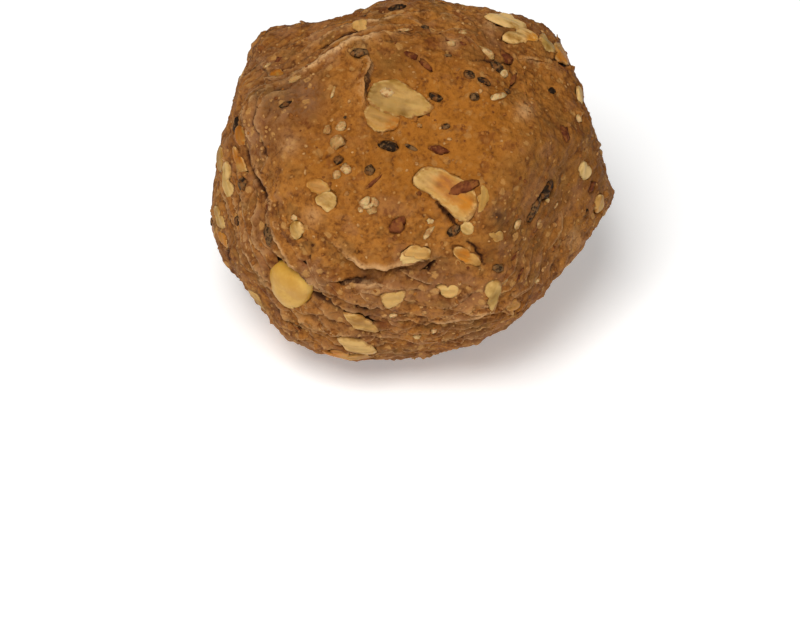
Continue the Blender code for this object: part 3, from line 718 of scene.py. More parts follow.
layer_foot_shade = layered * np.exp(-layer_share * LAYER_STEP / 0.22)
print("layers cover", round(100 * float((layered > 0.3).mean())), "% of the dough")

# %% [markdown]
# Dough gives way round whatever is pressed into it. It sinks under each piece and stands up in a low lip at
# the rim. Here and there it laps over the rim, because noise moves the line where the sinking starts.

# %% Dough round the pieces
LIP = 0.13
SUNK = 0.55  # how far it sinks under a piece
LAP = 0.34  # how far it may lap over a flake's rim
BURIED = 0.14  # and how far it does so everywhere
LIP_REACH = 1.2  # beyond this from the rim the dough isn't moved
SINK_SOFTNESS = 0.06  # it starts to sink over about this width
lapping = LAP * (noise_at(body, 0.75, 31.0) + 0.5 * noise_at(body, 2.0, 33.0))
under_flake = np.zeros(len(body))


def make_room(seat, lap):
    offset = body - seat.place
    near = np.flatnonzero(np.abs(offset).max(axis=1) < seat.rim.max() + LIP_REACH)
    offset = offset[near]
    u, v = offset @ seat.along, offset @ seat.across
    gap = np.hypot(u, v) - rim_at(seat.rim, np.arctan2(v, u)) + lap * lapping[near]
    inside = 1 / (1 + np.exp(np.clip((gap + lap * BURIED) / SINK_SOFTNESS, -30, 30)))
    share = min(1.0, seat.width / 2)
    skin[near] *= 1 - inside
    skin[near] += share * (LIP * np.exp(-(((gap - 0.2) / 0.28) ** 2)) - SUNK * inside)
    return near, inside


for flake in flakes:
    near, inside = make_room(flake.seat, 1.0)
    under_flake[near] = np.maximum(under_flake[near], inside)
for seat in [kernel_seat] + chia_seats + flax_seats + pale_seats:
    make_room(seat, 0.3)

skin_points = directions * (body_reach + skin)[:, None]
FLOOR_SOFTNESS = 0.25  # the dough rounds into its resting spot over this height
foot_height = skin_points @ np.array((0.0, UP[2], TOWARDS[2])) + MIDDLE_HEIGHT
lifted = FLOOR_SOFTNESS * np.logaddexp(0, foot_height / FLOOR_SOFTNESS)
skin_points += (lifted - foot_height)[:, None] * np.array((0.0, UP[2], TOWARDS[2]))
write_points(dough.data, in_frame(skin_points))
print("room for", len(flakes) + 1 + len(chia_seats + flax_seats + pale_seats), "pieces")

# %% [markdown]
# Paint needs to know where it is. Numbers kept on the mesh's points, called attributes, tell the shader how
# deep a crack is, where painted shade goes in cracks, dents and under torn edges and layers, where a torn
# rim gets a painted highlight and the dough a pale smear, and how strongly each tint of the real ball shows
# there: orange where the dough was pressed smooth, a darker grey-purple on the folded layers that is painted
# shade in the creases, and olive on the right-hand flat.

# %% Tints kept on the dough
ORANGE_PATCHES = ((1, 3, 9.5, 1.0), (6, 6, 7, 0.6), (-9, 0, 4, 0.4))  # right, up, radius, strength
# grey-purple patches, darker than the dough: under the front plate's corner and in the creases at the upper
# left and bottom they are painted shade
GREY_PURPLE_AND_SHADE_PATCHES = (
    (-14.2, 8.7, 3.2, 1.0), (-11.5, 9.2, 2.2, 0.9), (-16.2, 3.5, 2.2, 0.7), (-11.4, -10.2, 1.4, 1.0),
    (-9.6, -11.6, 1.2, 1.0), (-4.6, -10.8, 1.6, 0.7), (1.5, -9.6, 2.0, 0.8), (4.6, -9.8, 2.4, 0.5),
    (-4.6, -15.2, 1.2, 0.7), (9, 15.4, 2.6, 0.5), (9.0, -3.5, 0.8, 1.2), (9.7, -4.2, 0.7, 1.0),
    (-4.4, -12.6, 2.0, 0.5),
)
OLIVE_PATCHES = ((15.5, 1.5, 5.0, 1.0), (11.5, -5.5, 4.5, 0.8), (-2.0, 12.8, 2.2, 0.9))
PALE_SMEARS = (
    (12.1, 7.5, 0.9, 0.6), (4.3, 14.9, 0.7, 0.5), (8.6, 17.0, 0.8, 0.45), (-10.6, -3.8, 0.9, 0.4),
    (17.6, -6.4, 1.0, 0.4), (-13.2, 3.6, 1.0, 0.35),
)
# dark patches: painted shade at the ridge's left end and under the front plate's corner, and a plum-coloured
# patch and dark marks on the right
STAINS_AND_PAINTED_SHADE = (
    (-16.4, 9.2, 0.9, 0.8), (-15.0, 8.1, 1.4, 0.5), (-13.4, 9.3, 1.0, 0.3), (-11.4, -10.9, 1.0, 0.6),
    (-9.6, -12.2, 0.8, 0.6), (9.4, -3.8, 0.9, 0.95), (14.2, -1.6, 1.0, 0.6), (-15.9, -6.4, 1.0, 0.5),
)


def patch(right, up, radius, front_only=True):
    """A soft round patch of the best side, 1 in its middle."""
    distance = np.hypot(body[:, 0] - right, body[:, 1] - up)
    strength = np.exp(-((distance / radius) ** 2))
    return strength * np.clip(body[:, 2] / 5 + 0.3, 0, 1) if front_only else strength


def patches(table):
    return sum(strength * patch(right, up, radius) for right, up, radius, strength in table)


def keep(mesh, name, values):
    mesh.attributes.new(name, "FLOAT", "POINT").data.foreach_set("value", np.asarray(values, np.float32))


broad = noise_at(body, 0.16, 11.0)
orange = np.clip(patches(ORANGE_PATCHES) + 0.45 * broad, 0, 1)
not_top = 1 - patch(-10, 16, 7)
grey_purple_layers = layered * not_top * np.clip(0.2 - 0.9 * broad, 0, 0.8)
grey_purple_and_shade = np.clip(patches(GREY_PURPLE_AND_SHADE_PATCHES) + grey_purple_layers, 0, 1)
olive = np.clip(patches(OLIVE_PATCHES), 0, 1)
# painted shade in the skin's dents outside the flakes, plus the dark patches
dent_shade_and_stains = np.clip(-skin / 0.35, 0, 1) * (1 - under_flake) + patches(STAINS_AND_PAINTED_SHADE)
# painted shade: in cracks, at the feet of torn edges and layers, in dents, and in the dark patches
shade = 1.3 * crack_depth + 0.75 * torn_foot + 0.8 * layer_foot_shade + 0.5 * dent_shade_and_stains
keep(dough.data, "shade", np.clip(shade, 0, 1))
# the torn attribute holds the painted highlights on torn edges and layer rims, and the real pale smears
layer_highlights = layer_rim_highlight * (1 - 0.7 * patch(-12, 14.6, 4.5, False))
keep(dough.data, "torn", np.clip(0.8 * torn_rim_highlight + 0.6 * layer_highlights + 0.8 * patches(PALE_SMEARS), 0, 1))
TINTS = {"orange": orange, "grey_purple_and_shade": grey_purple_and_shade, "olive": olive}
for name, values in TINTS.items():
    keep(dough.data, name, values)
print("tints kept:", [tint.name for tint in dough.data.attributes if tint.data_type == "FLOAT"])

# %% [markdown]
# A material is a graph of nodes. Writing one link at a time hides what it does, so a small class wraps a
# socket and turns Python's own operators into Math nodes. Any other node comes from one method, which takes
# its type, its settings and its sockets.

# %% Shader maths


class Wire:
    """A socket in a material's nodes, with operators that add Math nodes."""

    def __init__(self, tree, socket):
        self.tree, self.socket = tree, socket

    def node(self, kind, settings=None, sockets=None, output=0):
        """Adds a node, and gives its output as a wire."""
        node = self.tree.nodes.new(kind)
        for name, value in (settings or {}).items():
            setattr(node, name, value)
        for name, value in (sockets or {}).items():
            if isinstance(value, Wire):
                self.tree.links.new(value.socket, node.inputs[name])
            else:
                node.inputs[name].default_value = value
        return Wire(self.tree, node.outputs[output])

    def maths(self, operation, first, second):
        return self.node("ShaderNodeMath", {"operation": operation}, {0: first, 1: second})

    def __add__(self, other):
        return self.maths("ADD", self, other)

    __radd__ = __add__

    def __sub__(self, other):
        return self.maths("SUBTRACT", self, other)

    def __rsub__(self, other):
        return self.maths("SUBTRACT", other, self)

    def __mul__(self, other):
        return self.maths("MULTIPLY", self, other)

    __rmul__ = __mul__

    def __pow__(self, other):
        return self.maths("POWER", self, other)

    def step(self, low, high):
        """0 below low, 1 above high, and smooth between them, either way round."""
        sockets = {"Value": self, "From Min": low, "From Max": high}
        return self.node("ShaderNodeMapRange", {"interpolation_type": "SMOOTHSTEP"}, sockets)

    def blend(self, colour, other, kind="MIX"):
        """colour where this wire is 0, other where it is 1, or colour times other there."""
        settings = {"data_type": "RGBA", "blend_type": kind}
        return self.node("ShaderNodeMix", settings, {0: self, 6: colour, 7: other}, output=2)


def new_material(name, **fixed):
    """A material with one Principled shader, whose fixed values are set on its own sockets."""
    material = bpy.data.materials.new(name)
    material.use_nodes = True
    shader = material.node_tree.nodes["Principled BSDF"]
    for socket, value in fixed.items():
        shader.inputs[socket.replace("_", " ")].default_value = value
    place = Wire(material.node_tree, None).node("ShaderNodeTexCoord", output=3)
    return material, shader, place


def feed(shader, socket, wire):
    wire.tree.links.new(wire.socket, shader.inputs[socket])


def grain_of(place, in_a_mm, detail=4.0, roughness=0.6, distortion=0.0):
    """Noise between 0 and 1, with its size given in waves in a millimetre."""
    sockets = {"Vector": place, "Scale": in_a_mm / MM, "Detail": detail, "Roughness": roughness}
    sockets["Distortion"] = distortion
    return place.node("ShaderNodeTexNoise", None, sockets)


def kept(place, name):
    """A number kept on the mesh's points."""
    return place.node("ShaderNodeAttribute", {"attribute_name": name}, output=2)


def bump(place, height, depth_mm, strength=1.0):
    sockets = {"Height": height, "Distance": depth_mm * MM, "Strength": strength}
    return place.node("ShaderNodeBump", None, sockets)


print("shader maths is ready")

# %% [markdown]
# Dough of nuts and dates is a paste full of finely ground bran and nut. Up close it is mottled light and
# dark orange-brown, with dark red specks and pale tan flecks, and it has a slight oily sheen. Three sizes
# of noise mottle it. Cells of Voronoi noise give the specks: each cell has a random number, only some cells
# get one, and the mottle makes their rims uneven.

# %% Dough finish
DARK, BROWN, LIGHT = (0.125, 0.037, 0.006, 1), (0.225, 0.073, 0.011, 1), (0.39, 0.150, 0.026, 1)
ORANGE, GREY_PURPLE_AND_SHADE, OLIVE = (0.36, 0.122, 0.011, 1), (0.170, 0.075, 0.031, 1), (0.180, 0.084, 0.019, 1)
TAN, SPECK, PALE_SMEAR_AND_HIGHLIGHT = (0.50, 0.25, 0.070, 1), (0.075, 0.017, 0.005, 1), (0.76, 0.44, 0.190, 1)
PINKISH, RED = (0.30, 0.130, 0.052, 1), (0.15, 0.036, 0.008, 1)
CURD, CRACK_SHADE = (0.42, 0.180, 0.040, 1), (0.030, 0.008, 0.004, 1)


def cells(place, in_a_mm, jitter=1.0):
    """Distance from the nearest cell's middle, and that cell's random number."""
    sockets = {"Vector": place, "Scale": in_a_mm / MM, "Randomness": jitter}
    settings = {"feature": "F1"}
    distance = place.node("ShaderNodeTexVoronoi", settings, sockets)
    colour = place.node("ShaderNodeTexVoronoi", settings, sockets, output=1)
    number = place.node("ShaderNodeSeparateColor", None, {"Color": colour})
    return distance, number


def spots(place, in_a_mm, share, radius, ragged):
    """1 inside uneven spots: this share of the cells has one, and its radius is in cells."""
    distance, number = cells(place, in_a_mm)
    return number.step(1 - share, 1.02 - share) * (distance + ragged).step(radius + 0.1, radius - 0.05)


def dough_finish():
    material, shader, place = new_material("dough", IOR=1.45, Specular_IOR_Level=0.1)
    broad = grain_of(place, 0.2, detail=3)
    mottle = grain_of(place, 0.7, detail=5, roughness=0.62, distortion=0.4)
    fine = grain_of(place, 2.6, detail=3, roughness=0.6)
    ragged = mottle * 0.8 + fine * 0.6 - 0.7
    colour = (mottle * 0.6 + fine * 0.4).step(0.33, 0.55).blend(DARK, BROWN)
    colour = (mottle * 0.4 + fine * 0.3 + broad * 0.3).step(0.45, 0.6).blend(colour, LIGHT)
    pressed = kept(place, "orange") * (mottle * 0.6 + fine * 0.4).step(0.3, 0.52)
    colour = (pressed * 0.7).blend(colour, ORANGE)
    # darker grey-purple tint, which is painted shade in the creases and under the front plate's corner
    colour = (kept(place, "grey_purple_and_shade") * (mottle * 0.5 + fine * 0.5).step(0.36, 0.56) * 0.85).blend(colour, GREY_PURPLE_AND_SHADE)
    colour = (kept(place, "olive") * mottle.step(0.25, 0.7) * 0.7).blend(colour, OLIVE)
    colour = (kept(place, "olive") * fine.step(0.50, 0.62) * 0.4).blend(colour, DARK)
    colour = (kept(place, "olive") * fine.step(0.46, 0.36) * 0.3).blend(colour, LIGHT)
    rough = 1 - kept(place, "orange")
    hue = grain_of(place, 0.33, detail=2)
    colour = (hue.step(0.52, 0.66) * rough * 0.5).blend(colour, PINKISH)
    colour = (hue.step(0.46, 0.34) * rough * 0.5).blend(colour, OLIVE)
    colour = (spots(place, 0.37, 0.22, 0.26, ragged) * 0.45).blend(colour, RED)
    colour = (spots(place, 0.62, 0.34, 0.3, ragged) * rough * 0.45).blend(colour, SPECK)
    colour = (spots(place, 0.8, 0.24, 0.28, ragged) * (0.35 + 0.35 * rough)).blend(colour, TAN)
    colour = (spots(place, 2.1, 0.15, 0.28, ragged) * (0.3 + 0.4 * rough)).blend(colour, TAN)
    granules, _ = cells(place, 1.1)
    colour = ((granules + ragged * 0.5).step(0.5, 0.12) * 0.35).blend(colour, CURD)
    colour = (spots(place, 1.5, 0.13, 0.15, ragged) * 0.5).blend(colour, SPECK)
    # painted highlight on torn rims and layer edges, and the pale smears
    colour = (kept(place, "torn") * (fine * 0.6 + mottle * 0.4).step(0.33, 0.52)).blend(colour, PALE_SMEAR_AND_HIGHLIGHT)
    colour = (kept(place, "shade").step(0.1, 0.9) * 0.85).blend(colour, CRACK_SHADE)
    feed(shader, "Base Color", colour)
    feed(shader, "Roughness", 0.55 + fine * 0.3)
    relief = mottle * 0.42 + fine * 0.36 + grain_of(place, 7.0, detail=3) * 0.08 - granules * 0.24
    feed(shader, "Normal", bump(place, relief, 0.65, 0.95))
    return material


dough.data.materials.append(dough_finish())
dough.data.shade_smooth()
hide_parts("energy_ball")
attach(dough, "root")
print("the dough is painted")

# %% [markdown]
# All that is pressed into the dough, and its own torn scraps, are made in the same way: one blank for each
# kind, copied, and each copy's points moved to its seat. These helpers make a blank, drop a piece's points
# on the dough so that it hugs the ball, and join the copies of a kind into one mesh, with the numbers that
# its paint reads.

# %% Helpers for small pieces
DROP_FROM = 4.0  # how far above the dough a point starts to drop
HIGHEST = 0.6  # no point is lifted further than this


def blank_ball(segments, rings):
    """A unit sphere's points and faces, to copy."""
    bpy.ops.object.select_all(action="DESELECT")
    bpy.ops.mesh.primitive_uv_sphere_add(segments=segments, ring_count=rings, radius=1)
    return taken_apart(bpy.context.object)


def blank_sheet(along, across):
    """A square sheet from -1 to 1 with this many faces each way."""
    bpy.ops.object.select_all(action="DESELECT")
    bpy.ops.mesh.primitive_grid_add(x_subdivisions=along, y_subdivisions=across, size=2)
    return taken_apart(bpy.context.object)


def taken_apart(blank):
    """The blank's points and faces, sorted because the order of a sphere's faces changes between runs."""
    points = read_points(blank.data)
    shape = sorted(tuple(face.vertices) for face in blank.data.polygons)
    bpy.data.objects.remove(blank)
    return points, shape


def height_over(place, out):
    """How far the dough reaches over a place, on the line through it that way out."""
    hit, _, _, fall = body_tree.ray_cast(Vector(place + DROP_FROM * out), Vector(-out), 2 * DROP_FROM)
    return None if hit is None else DROP_FROM - fall


def drop_on_dough(places, normal, sags):
    """How far each place drops along the normal onto the dough, and no further than it may sag."""
    found = [height_over(place, normal) for place in places]
    drops = [-sag if height is None else max(height, -sag) for height, sag in zip(found, sags)]
    return np.minimum(drops, HIGHEST)


def joined(name, parts, shape, numbers):
    """One object from parts with the same faces. numbers has what each part keeps on its points."""
    starts = [len(part) * number for number, part in enumerate(parts)]
    points = np.concatenate(parts)
    all_faces = [[start + corner for corner in face] for start in starts for face in shape]
    mesh = bpy.data.meshes.new(name)
    mesh.from_pydata(in_frame(points).tolist(), [], all_faces)
    mesh.update()
    for kind in numbers[0]:
        keep(mesh, kind, np.concatenate([values[kind] for values in numbers]))
    mesh.shade_smooth()
    thing = bpy.data.objects.new(name, mesh)
    bpy.context.scene.collection.objects.link(thing)
    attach(thing, "root")
    mesh.calc_loop_triangles()
    print(name, "has", len(parts), "pieces and", len(mesh.loop_triangles), "triangles")
    return thing


def own_number(number):
    """A share between 0 and 1 that is unlike its neighbours', to vary the finish of each piece."""
    return (number * 0.618) % 1


def spotted(points, spots):
    """How strongly each point lies in the best side's spots."""
    apart = [np.hypot(points[:, 0] - right, points[:, 1] - up) / radius for right, up, radius in spots]
    return np.exp(-(np.min(apart, axis=0) ** 2)) * (points[:, 2] > 0)


FLAKE_THICKNESS = 0.5
GROOVE = 0.09


def flake_points(blank, flake, phase, thickness=FLAKE_THICKNESS, groove=GROOVE):
    """The blank spread to the flake's rim and bent onto the dough."""
    seat = flake.seat
    x, y, z = blank.T
    out = np.minimum(np.hypot(x, y), 1)
    angle = np.arctan2(y, x)
    radius = out * rim_at(seat.rim, angle) * (1 + 0.03 * np.sin(9 * angle + phase) * out)
    u, v = radius * np.cos(angle), radius * np.sin(angle)
    flat = seat.place + np.outer(u, seat.along) + np.outer(v, seat.across)
    drop = drop_on_dough(flat, seat.normal, 0.15 + 0.11 * radius**2) * (1 - 0.4 * min(flake.tip, 1))
    small = min(1.0, seat.width / 2.2)
    half = thickness / 2 * small * np.sign(z) * np.sqrt(1 - out**5)
    dip = -groove * small * np.exp(-((v / (0.11 * seat.width)) ** 2)) * (1 - out**2) * (z > 0)
    curl = 0.08 * out**2 * np.sin(2 * angle + phase)
    curl = curl + 0.05 * np.sin(1.9 * u + phase) + 0.04 * np.sin(3.1 * v)
    lift = 0.03 + flake.lift + flake.tip * (0.5 + u / seat.length) * 0.9 - 0.13 * out**3
    height = drop + half + dip + small * curl + lift
    return flat + height[:, None] * seat.normal, u, v, out


print("helpers are ready")

# %% [markdown]
# A torn edge hangs over a little, and its shadow under it is what the eye sees. Points that only move in
# and out can't hang over, so each fold also gets a lip: a thin sheet that goes on level with the standing
# side past the edge, with a ragged rim. Grid sheets are laid along the folds, and a Solidify modifier gives
# them thickness.

# %% Torn lips along the folds
LIP_BACK = 1.3  # the sheet starts this far back on the standing side
LIP_THICKNESS = 0.2
LIP_FACES = (110, 7)
dough_tree = KDTree(len(body))
for number, point in enumerate(body):
    dough_tree.insert(point, number)
dough_tree.balance()


def tints_near(points):
    """The dough's tints at the nearest of its own points."""
    nearest = [dough_tree.find(point)[1] for point in points]
    return {name: values[nearest] for name, values in TINTS.items()}


def lip_points(blank, line, size, lip, phase):
    """The sheet's points along a fold, and how near each is to the torn rim, which gets a painted highlight.
    """
    line = np.array(line)
    steps = np.linalg.norm(np.diff(line, axis=0), axis=1)
    way = np.concatenate(([0], np.cumsum(steps))) / steps.sum()
    run = 0.03 + 0.94 * (blank[:, 0] + 1) / 2
    centre = np.stack([np.interp(run, way, line[:, axis]) for axis in range(3)], 1)
    ahead = np.stack([np.interp(run + 0.02, way, line[:, axis]) for axis in range(3)], 1)
    behind = np.stack([np.interp(run - 0.02, way, line[:, axis]) for axis in range(3)], 1)
    out = centre / np.linalg.norm(centre, axis=1)[:, None]
    left = np.cross(out, ahead - behind)
    left /= np.linalg.norm(left, axis=1)[:, None]
    fade = faded(run)
    seed = np.column_stack((run * steps.sum(), np.full(len(run), phase), np.zeros(len(run))))
    uneven = 0.5 + 0.9 * noise_at(seed, 0.45) + 0.45 * noise_at(seed, 1.6) + 0.3 * noise_at(seed, 4.0)
    hang = lip * fade * np.clip(0.42 * uneven, 0.0, 0.8)
    share = (1 - blank[:, 1]) / 2  # 0 at the back, 1 at the rim
    back = LIP_BACK * size**0.5
    side = back - share * (back + hang)
    edge_shift = edge_wander(centre) * size
    side = side - edge_shift
    grip = 0.3 * size**0.5 - edge_shift  # level with the standing side from here outwards
    flat = centre + left * np.maximum(side, grip)[:, None]
    drops = np.array([height_over(*pair) or 0.0 for pair in zip(flat, out)])
    proud = np.clip(0.5 + 1.3 * noise_at(seed, 0.3, 40.0), -0.6, 1) * fade
    height = drops + (0.05 + 0.16 * lip * proud) * np.minimum(share * 2, 1)
    height -= 0.12 * (1 - fade) + 0.12 * (share < 0.01)
    height += 0.06 * noise_at(flat, 1.5) * share - 0.5 * np.maximum(grip - side, 0) ** 2
    points = flat + left * np.minimum(side - grip, 0)[:, None] + height[:, None] * out
    # rim is the painted highlight along the lip's torn rim
    rim = np.clip((share - 0.75 + 0.3 * lip) / 0.25, 0, 1) * fade
    rim *= np.clip(0.5 + 0.3 * lip + 1.6 * noise_at(seed, 0.5, 60.0), 0.1, 1)
    return points, rim * min(1.0, 0.1 + 0.7 * lip)


blank, shape = blank_sheet(*LIP_FACES)
parts, numbers = [], []
for number, (line, rise, edge, size, lip) in enumerate(folds):
    points, torn = lip_points(blank, line, size, lip, 5.0 * number)
    parts.append(points)
    numbers.append({"torn": torn, **tints_near(points)})
torn_lips = joined("torn_lips", parts, shape, numbers)
torn_lips.data.materials.append(dough.data.materials[0])
thick = torn_lips.modifiers.new("thickness", "SOLIDIFY")
thick.thickness, thick.offset = LIP_THICKNESS * MM, -1
bpy.context.view_layer.objects.active = torn_lips
bpy.ops.object.modifier_apply(modifier=thick.name)
print("the lips have", len(torn_lips.data.polygons), "faces")

# %% [markdown]
# The layers at the sides end in flat scraps of dough that lift off at their outer edge. They are thin like
# the oats and made in the same way, but they wear the dough's own finish, with a pale rim that is a painted
# highlight.

# %% Loose scraps of dough
SCRAPS = 900
SCRAP_THICKNESS = 0.34
DULL_SPOTS = ((-12.0, 14.6, 4.5), (-6.0, 17.0, 3.0))  # where the rims aren't pale
EDGE_SCRAPS = (  # those that roughen the ball's outline: right, up, reach, width
    (-6.3, 17.8, 1.5, 0.6), (-11.9, 17.1, 1.0, 1.5), (-16.6, 14.4, 0.9, 0.9), (12.6, 16.8, 1.1, 0.9),
    (15.8, 15.4, 1.2, 0.5), (17.4, 12.2, 1.0, 0.9), (18.2, 7.2, 0.8, 0.9), (21.2, -1.6, 0.8, 0.9),
    (-12.0, -17.0, 1.3, 1.4), (-10.4, -18.2, 1.0, 1.0), (10.6, -14.2, 1.4, 1.2), (0.5, -18.4, 0.8, 1.3),
    (-18.6, 9.6, 0.8, 0.8), (-15.2, -15.4, 1.1, 1.0), (13.9, -11.0, 1.1, 0.9), (5.2, -17.4, 0.9, 1.2),
)
draw = random.Random(SEED + 3)
scraps = []
for number, direction in spiral_directions(SCRAPS, draw, 0.9):
    across, outwards, lifted_by = draw.uniform(1.6, 6.0), draw.uniform(0.7, 1.7), draw.uniform(0.2, 0.55)
    swing, keeps = draw.uniform(-35, 35), draw.random()
    nearest = dough_tree.find(Vector(direction * pressed_reach(direction[None])[0]))[1]
    taken = keeps > 1.1 * layered[nearest] or under_flake[nearest] > 0.1
    if taken or angle_between(direction, FOOT) < FOOT_CLEARANCE:
        continue
    away = direction * (direction @ FRONT_MIDDLE) - FRONT_MIDDLE
    away = away * math.cos(math.radians(swing)) + np.cross(direction, away) * math.sin(math.radians(swing))
    seat = scattered_seat(direction, outwards, across, away)
    scraps.append(torn_flake(seat, 0.1, lifted_by, 0)._replace(lift=-0.24))
for right, up, reach, width in EDGE_SCRAPS:
    seat = seen_seat(right, up, reach, width, math.degrees(math.atan2(up, right)))
    scraps.append(torn_flake(seat, 0.6, 0.8, 0)._replace(lift=-0.2))
blank, shape = blank_ball(20, 8)
parts, numbers = [], []
for number, scrap in enumerate(scraps):
    points, u, v, out = flake_points(blank, scrap, 2.3 * number, SCRAP_THICKNESS, 0.0)
    parts.append(points)
    # painted highlight along the outer rim, weaker in the dull spots
    torn = 0.75 * np.clip((out - 0.6) / 0.4, 0, 1) * np.clip(0.4 + 1.2 * u / scrap.seat.length, 0, 1)
    torn = torn * (1 - 0.7 * spotted(points, DULL_SPOTS))
    numbers.append({"torn": torn, **tints_near(points)})
dough_scraps = joined("dough_scraps", parts, shape, numbers)
dough_scraps.data.materials.append(dough.data.materials[0])

# %% [markdown]
# A rolled oat is a grain squashed flat between rollers: a thin oval with a groove along its middle, ragged
# rims and a slight curl. One blank is made from a sphere. Each copy is bent onto its seat: every point is
# dropped on the dough under it and then set off by the flake's own thickness, so that the flake hugs the
# ball.

# %% Rolled oats
FLAKE_SEGMENTS, FLAKE_RINGS = 32, 14
OIL_SPOTS = (  # right, up, radius
    (3.5, -0.4, 1.2), (4.5, -1.4, 1.3), (5.7, -2.4, 1.1), (13.2, 15.4, 0.8), (16.4, 13.4, 0.7),
    (-1.9, 5.9, 0.8), (-19.0, 2.4, 0.7), (5.6, -8.2, 0.7), (-8.8, -19.0, 0.9),
)
# darker olive on some flakes; on the large flake at the upper left it is a painted shadow
OLIVE_TONE_AND_SHADOW_SPOTS = (
    (-4.6, 9.7, 1.5), (-3.9, 8.2, 1.3), (-2.4, 7.6, 1.1), (-1.1, 7.2, 0.8), (14.6, 15.0, 0.8),
    (9.2, -12.6, 0.8),
)
blank, shape = blank_ball(FLAKE_SEGMENTS, FLAKE_RINGS)
parts, numbers = [], []
for number, flake in enumerate(flakes):
    points, u, v, out = flake_points(blank, flake, 1.7 * number)
    parts.append(points)
    same = np.ones(len(blank))
    stained = {"orange": np.clip(flake.orange + 1.2 * spotted(points, OIL_SPOTS), 0, 1)}
    stained["olive"] = spotted(points, OLIVE_TONE_AND_SHADOW_SPOTS)
    own = {"pale": flake.pale * same, "which": own_number(number) * same}
    numbers.append({"u": u, "v": v, "out": out, **stained, **own})
oat_flakes = joined("oat_flakes", parts, shape, numbers)

# %% [markdown]
# An oat's face is cream to gold, with fine streaks along the grain, a paler starchy rim and a green-grey
# shade in the groove. Oil from the dough stains some of them orange. The streaks follow each flake's own
# length, so they read the two numbers kept on its points instead of the object's coordinates.

# %% Oat finish
CREAM, GOLD, PALE_RIM = (0.46, 0.255, 0.056, 1), (0.31, 0.155, 0.024, 1), (0.76, 0.51, 0.20, 1)
OIL, OLIVE_TONE_AND_SHADOW = (0.90, 0.52, 0.10, 1), (0.60, 0.58, 0.40, 1)  # these two darken what is under them
GROOVE_SHADE, SMEAR = (0.18, 0.100, 0.022, 1), (0.26, 0.092, 0.014, 1)


def oat_finish():
    fixed = {"IOR": 1.45, "Specular_IOR_Level": 0.2, "Subsurface_Weight": 0.2, "Subsurface_Scale": 0.5 * MM}
    material, shader, place = new_material("oat", **fixed)
    shader.inputs["Subsurface Radius"].default_value = (1.0, 0.55, 0.25)
    u, v, out, which = (kept(place, name) for name in ("u", "v", "out", "which"))
    along = place.node("ShaderNodeCombineXYZ", None, {"X": u * 0.4, "Y": v, "Z": which * 40})
    streaks = place.node("ShaderNodeTexNoise", None, {"Vector": along, "Scale": 1.6, "Detail": 4.0})
    cloud = grain_of(place, 0.34, detail=4)
    fine = grain_of(place, 3.0, detail=4)
    colour = (streaks * 0.35 + cloud * 0.65).step(0.36, 0.6).blend(GOLD, CREAM)
    colour = (kept(place, "pale") * (streaks * 0.4 + cloud * 0.6).step(0.34, 0.56)).blend(colour, PALE_RIM)
    soaked = kept(place, "orange") * grain_of(place, 0.8, detail=3).step(0.25, 0.48)
    colour = soaked.blend(colour, OIL, "MULTIPLY")
    # darker olive tone, on the large flake a painted shadow
    colour = (kept(place, "olive") * 0.9).blend(colour, OLIVE_TONE_AND_SHADOW, "MULTIPLY")
    groove = (0.10 - v * v).step(0.0, 0.10) * streaks.step(0.3, 0.6) * (1 - out).step(0.1, 0.5)
    colour = (groove * 0.3).blend(colour, GROOVE_SHADE)
    colour = (out.step(0.80, 0.98) * streaks.step(0.42, 0.6) * 0.5).blend(colour, PALE_RIM)
    smeared = (fine * 0.3 + cloud * 0.5 + out * out * out * 0.3).step(0.61, 0.70)
    colour = (smeared * (1 - 0.8 * kept(place, "pale")) * 0.85).blend(colour, SMEAR)
    feed(shader, "Base Color", colour)
    feed(shader, "Roughness", 0.42 + streaks * 0.25)
    feed(shader, "Normal", bump(place, streaks * 0.4 + fine * 0.6, 0.1, 0.6))
    return material


oat_flakes.data.materials.append(oat_finish())
print("the oats are painted")

# %% [markdown]
# One golden kernel sits in its own hollow at the lower left. It is smooth, drop-shaped and a little dented,
# so it is a finer sphere pulled narrow at one end. Its finish is a waxy yellow with faint darker clouds.

# %% The golden kernel
KERNEL_THICKNESS = 3.0
KERNEL_SUNK = 0.5
KERNEL_DARK, KERNEL_LIGHT = (0.50, 0.25, 0.030, 1), (0.62, 0.36, 0.068, 1)
KERNEL_CLOUD = (0.42, 0.2, 0.04, 1)
blank, shape = blank_ball(40, 24)
x, y, z = blank.T
out = np.minimum(np.hypot(x, y), 1)
angle = np.arctan2(y, x)
radius = out * rim_at(kernel_seat.rim, angle)
u, v = radius * np.cos(angle), radius * np.sin(angle)
w = np.sign(z) * np.sqrt(1 - out**2.6) * KERNEL_THICKNESS / 2
w += (z > 0) * (1 - out) * (0.14 * np.sin(1.5 * u + 0.6) - 0.16 * np.exp(-((v - 0.5) ** 2)))
points = kernel_seat.place + np.outer(u, kernel_seat.along) + np.outer(v, kernel_seat.across)
points += np.outer(w - KERNEL_SUNK, kernel_seat.normal)
golden_kernel = joined("golden_kernel", [points], shape, [{}])


def kernel_finish():
    fixed = {"Specular_IOR_Level": 0.25, "Subsurface_Weight": 0.2, "Subsurface_Scale": MM}
    material, shader, place = new_material("golden_kernel", **fixed)
    shader.inputs["Subsurface Radius"].default_value = (1.4, 0.8, 0.2)
    cloud = grain_of(place, 0.35, detail=4)
    fine = grain_of(place, 1.8, detail=4)
    colour = cloud.step(0.35, 0.65).blend(KERNEL_DARK, KERNEL_LIGHT)
    colour = (fine.step(0.55, 0.75) * 0.35).blend(colour, KERNEL_CLOUD)
    feed(shader, "Base Color", colour)
    feed(shader, "Roughness", 0.36 + fine * 0.2)
    feed(shader, "Normal", bump(place, fine, 0.05, 0.6))
    return material


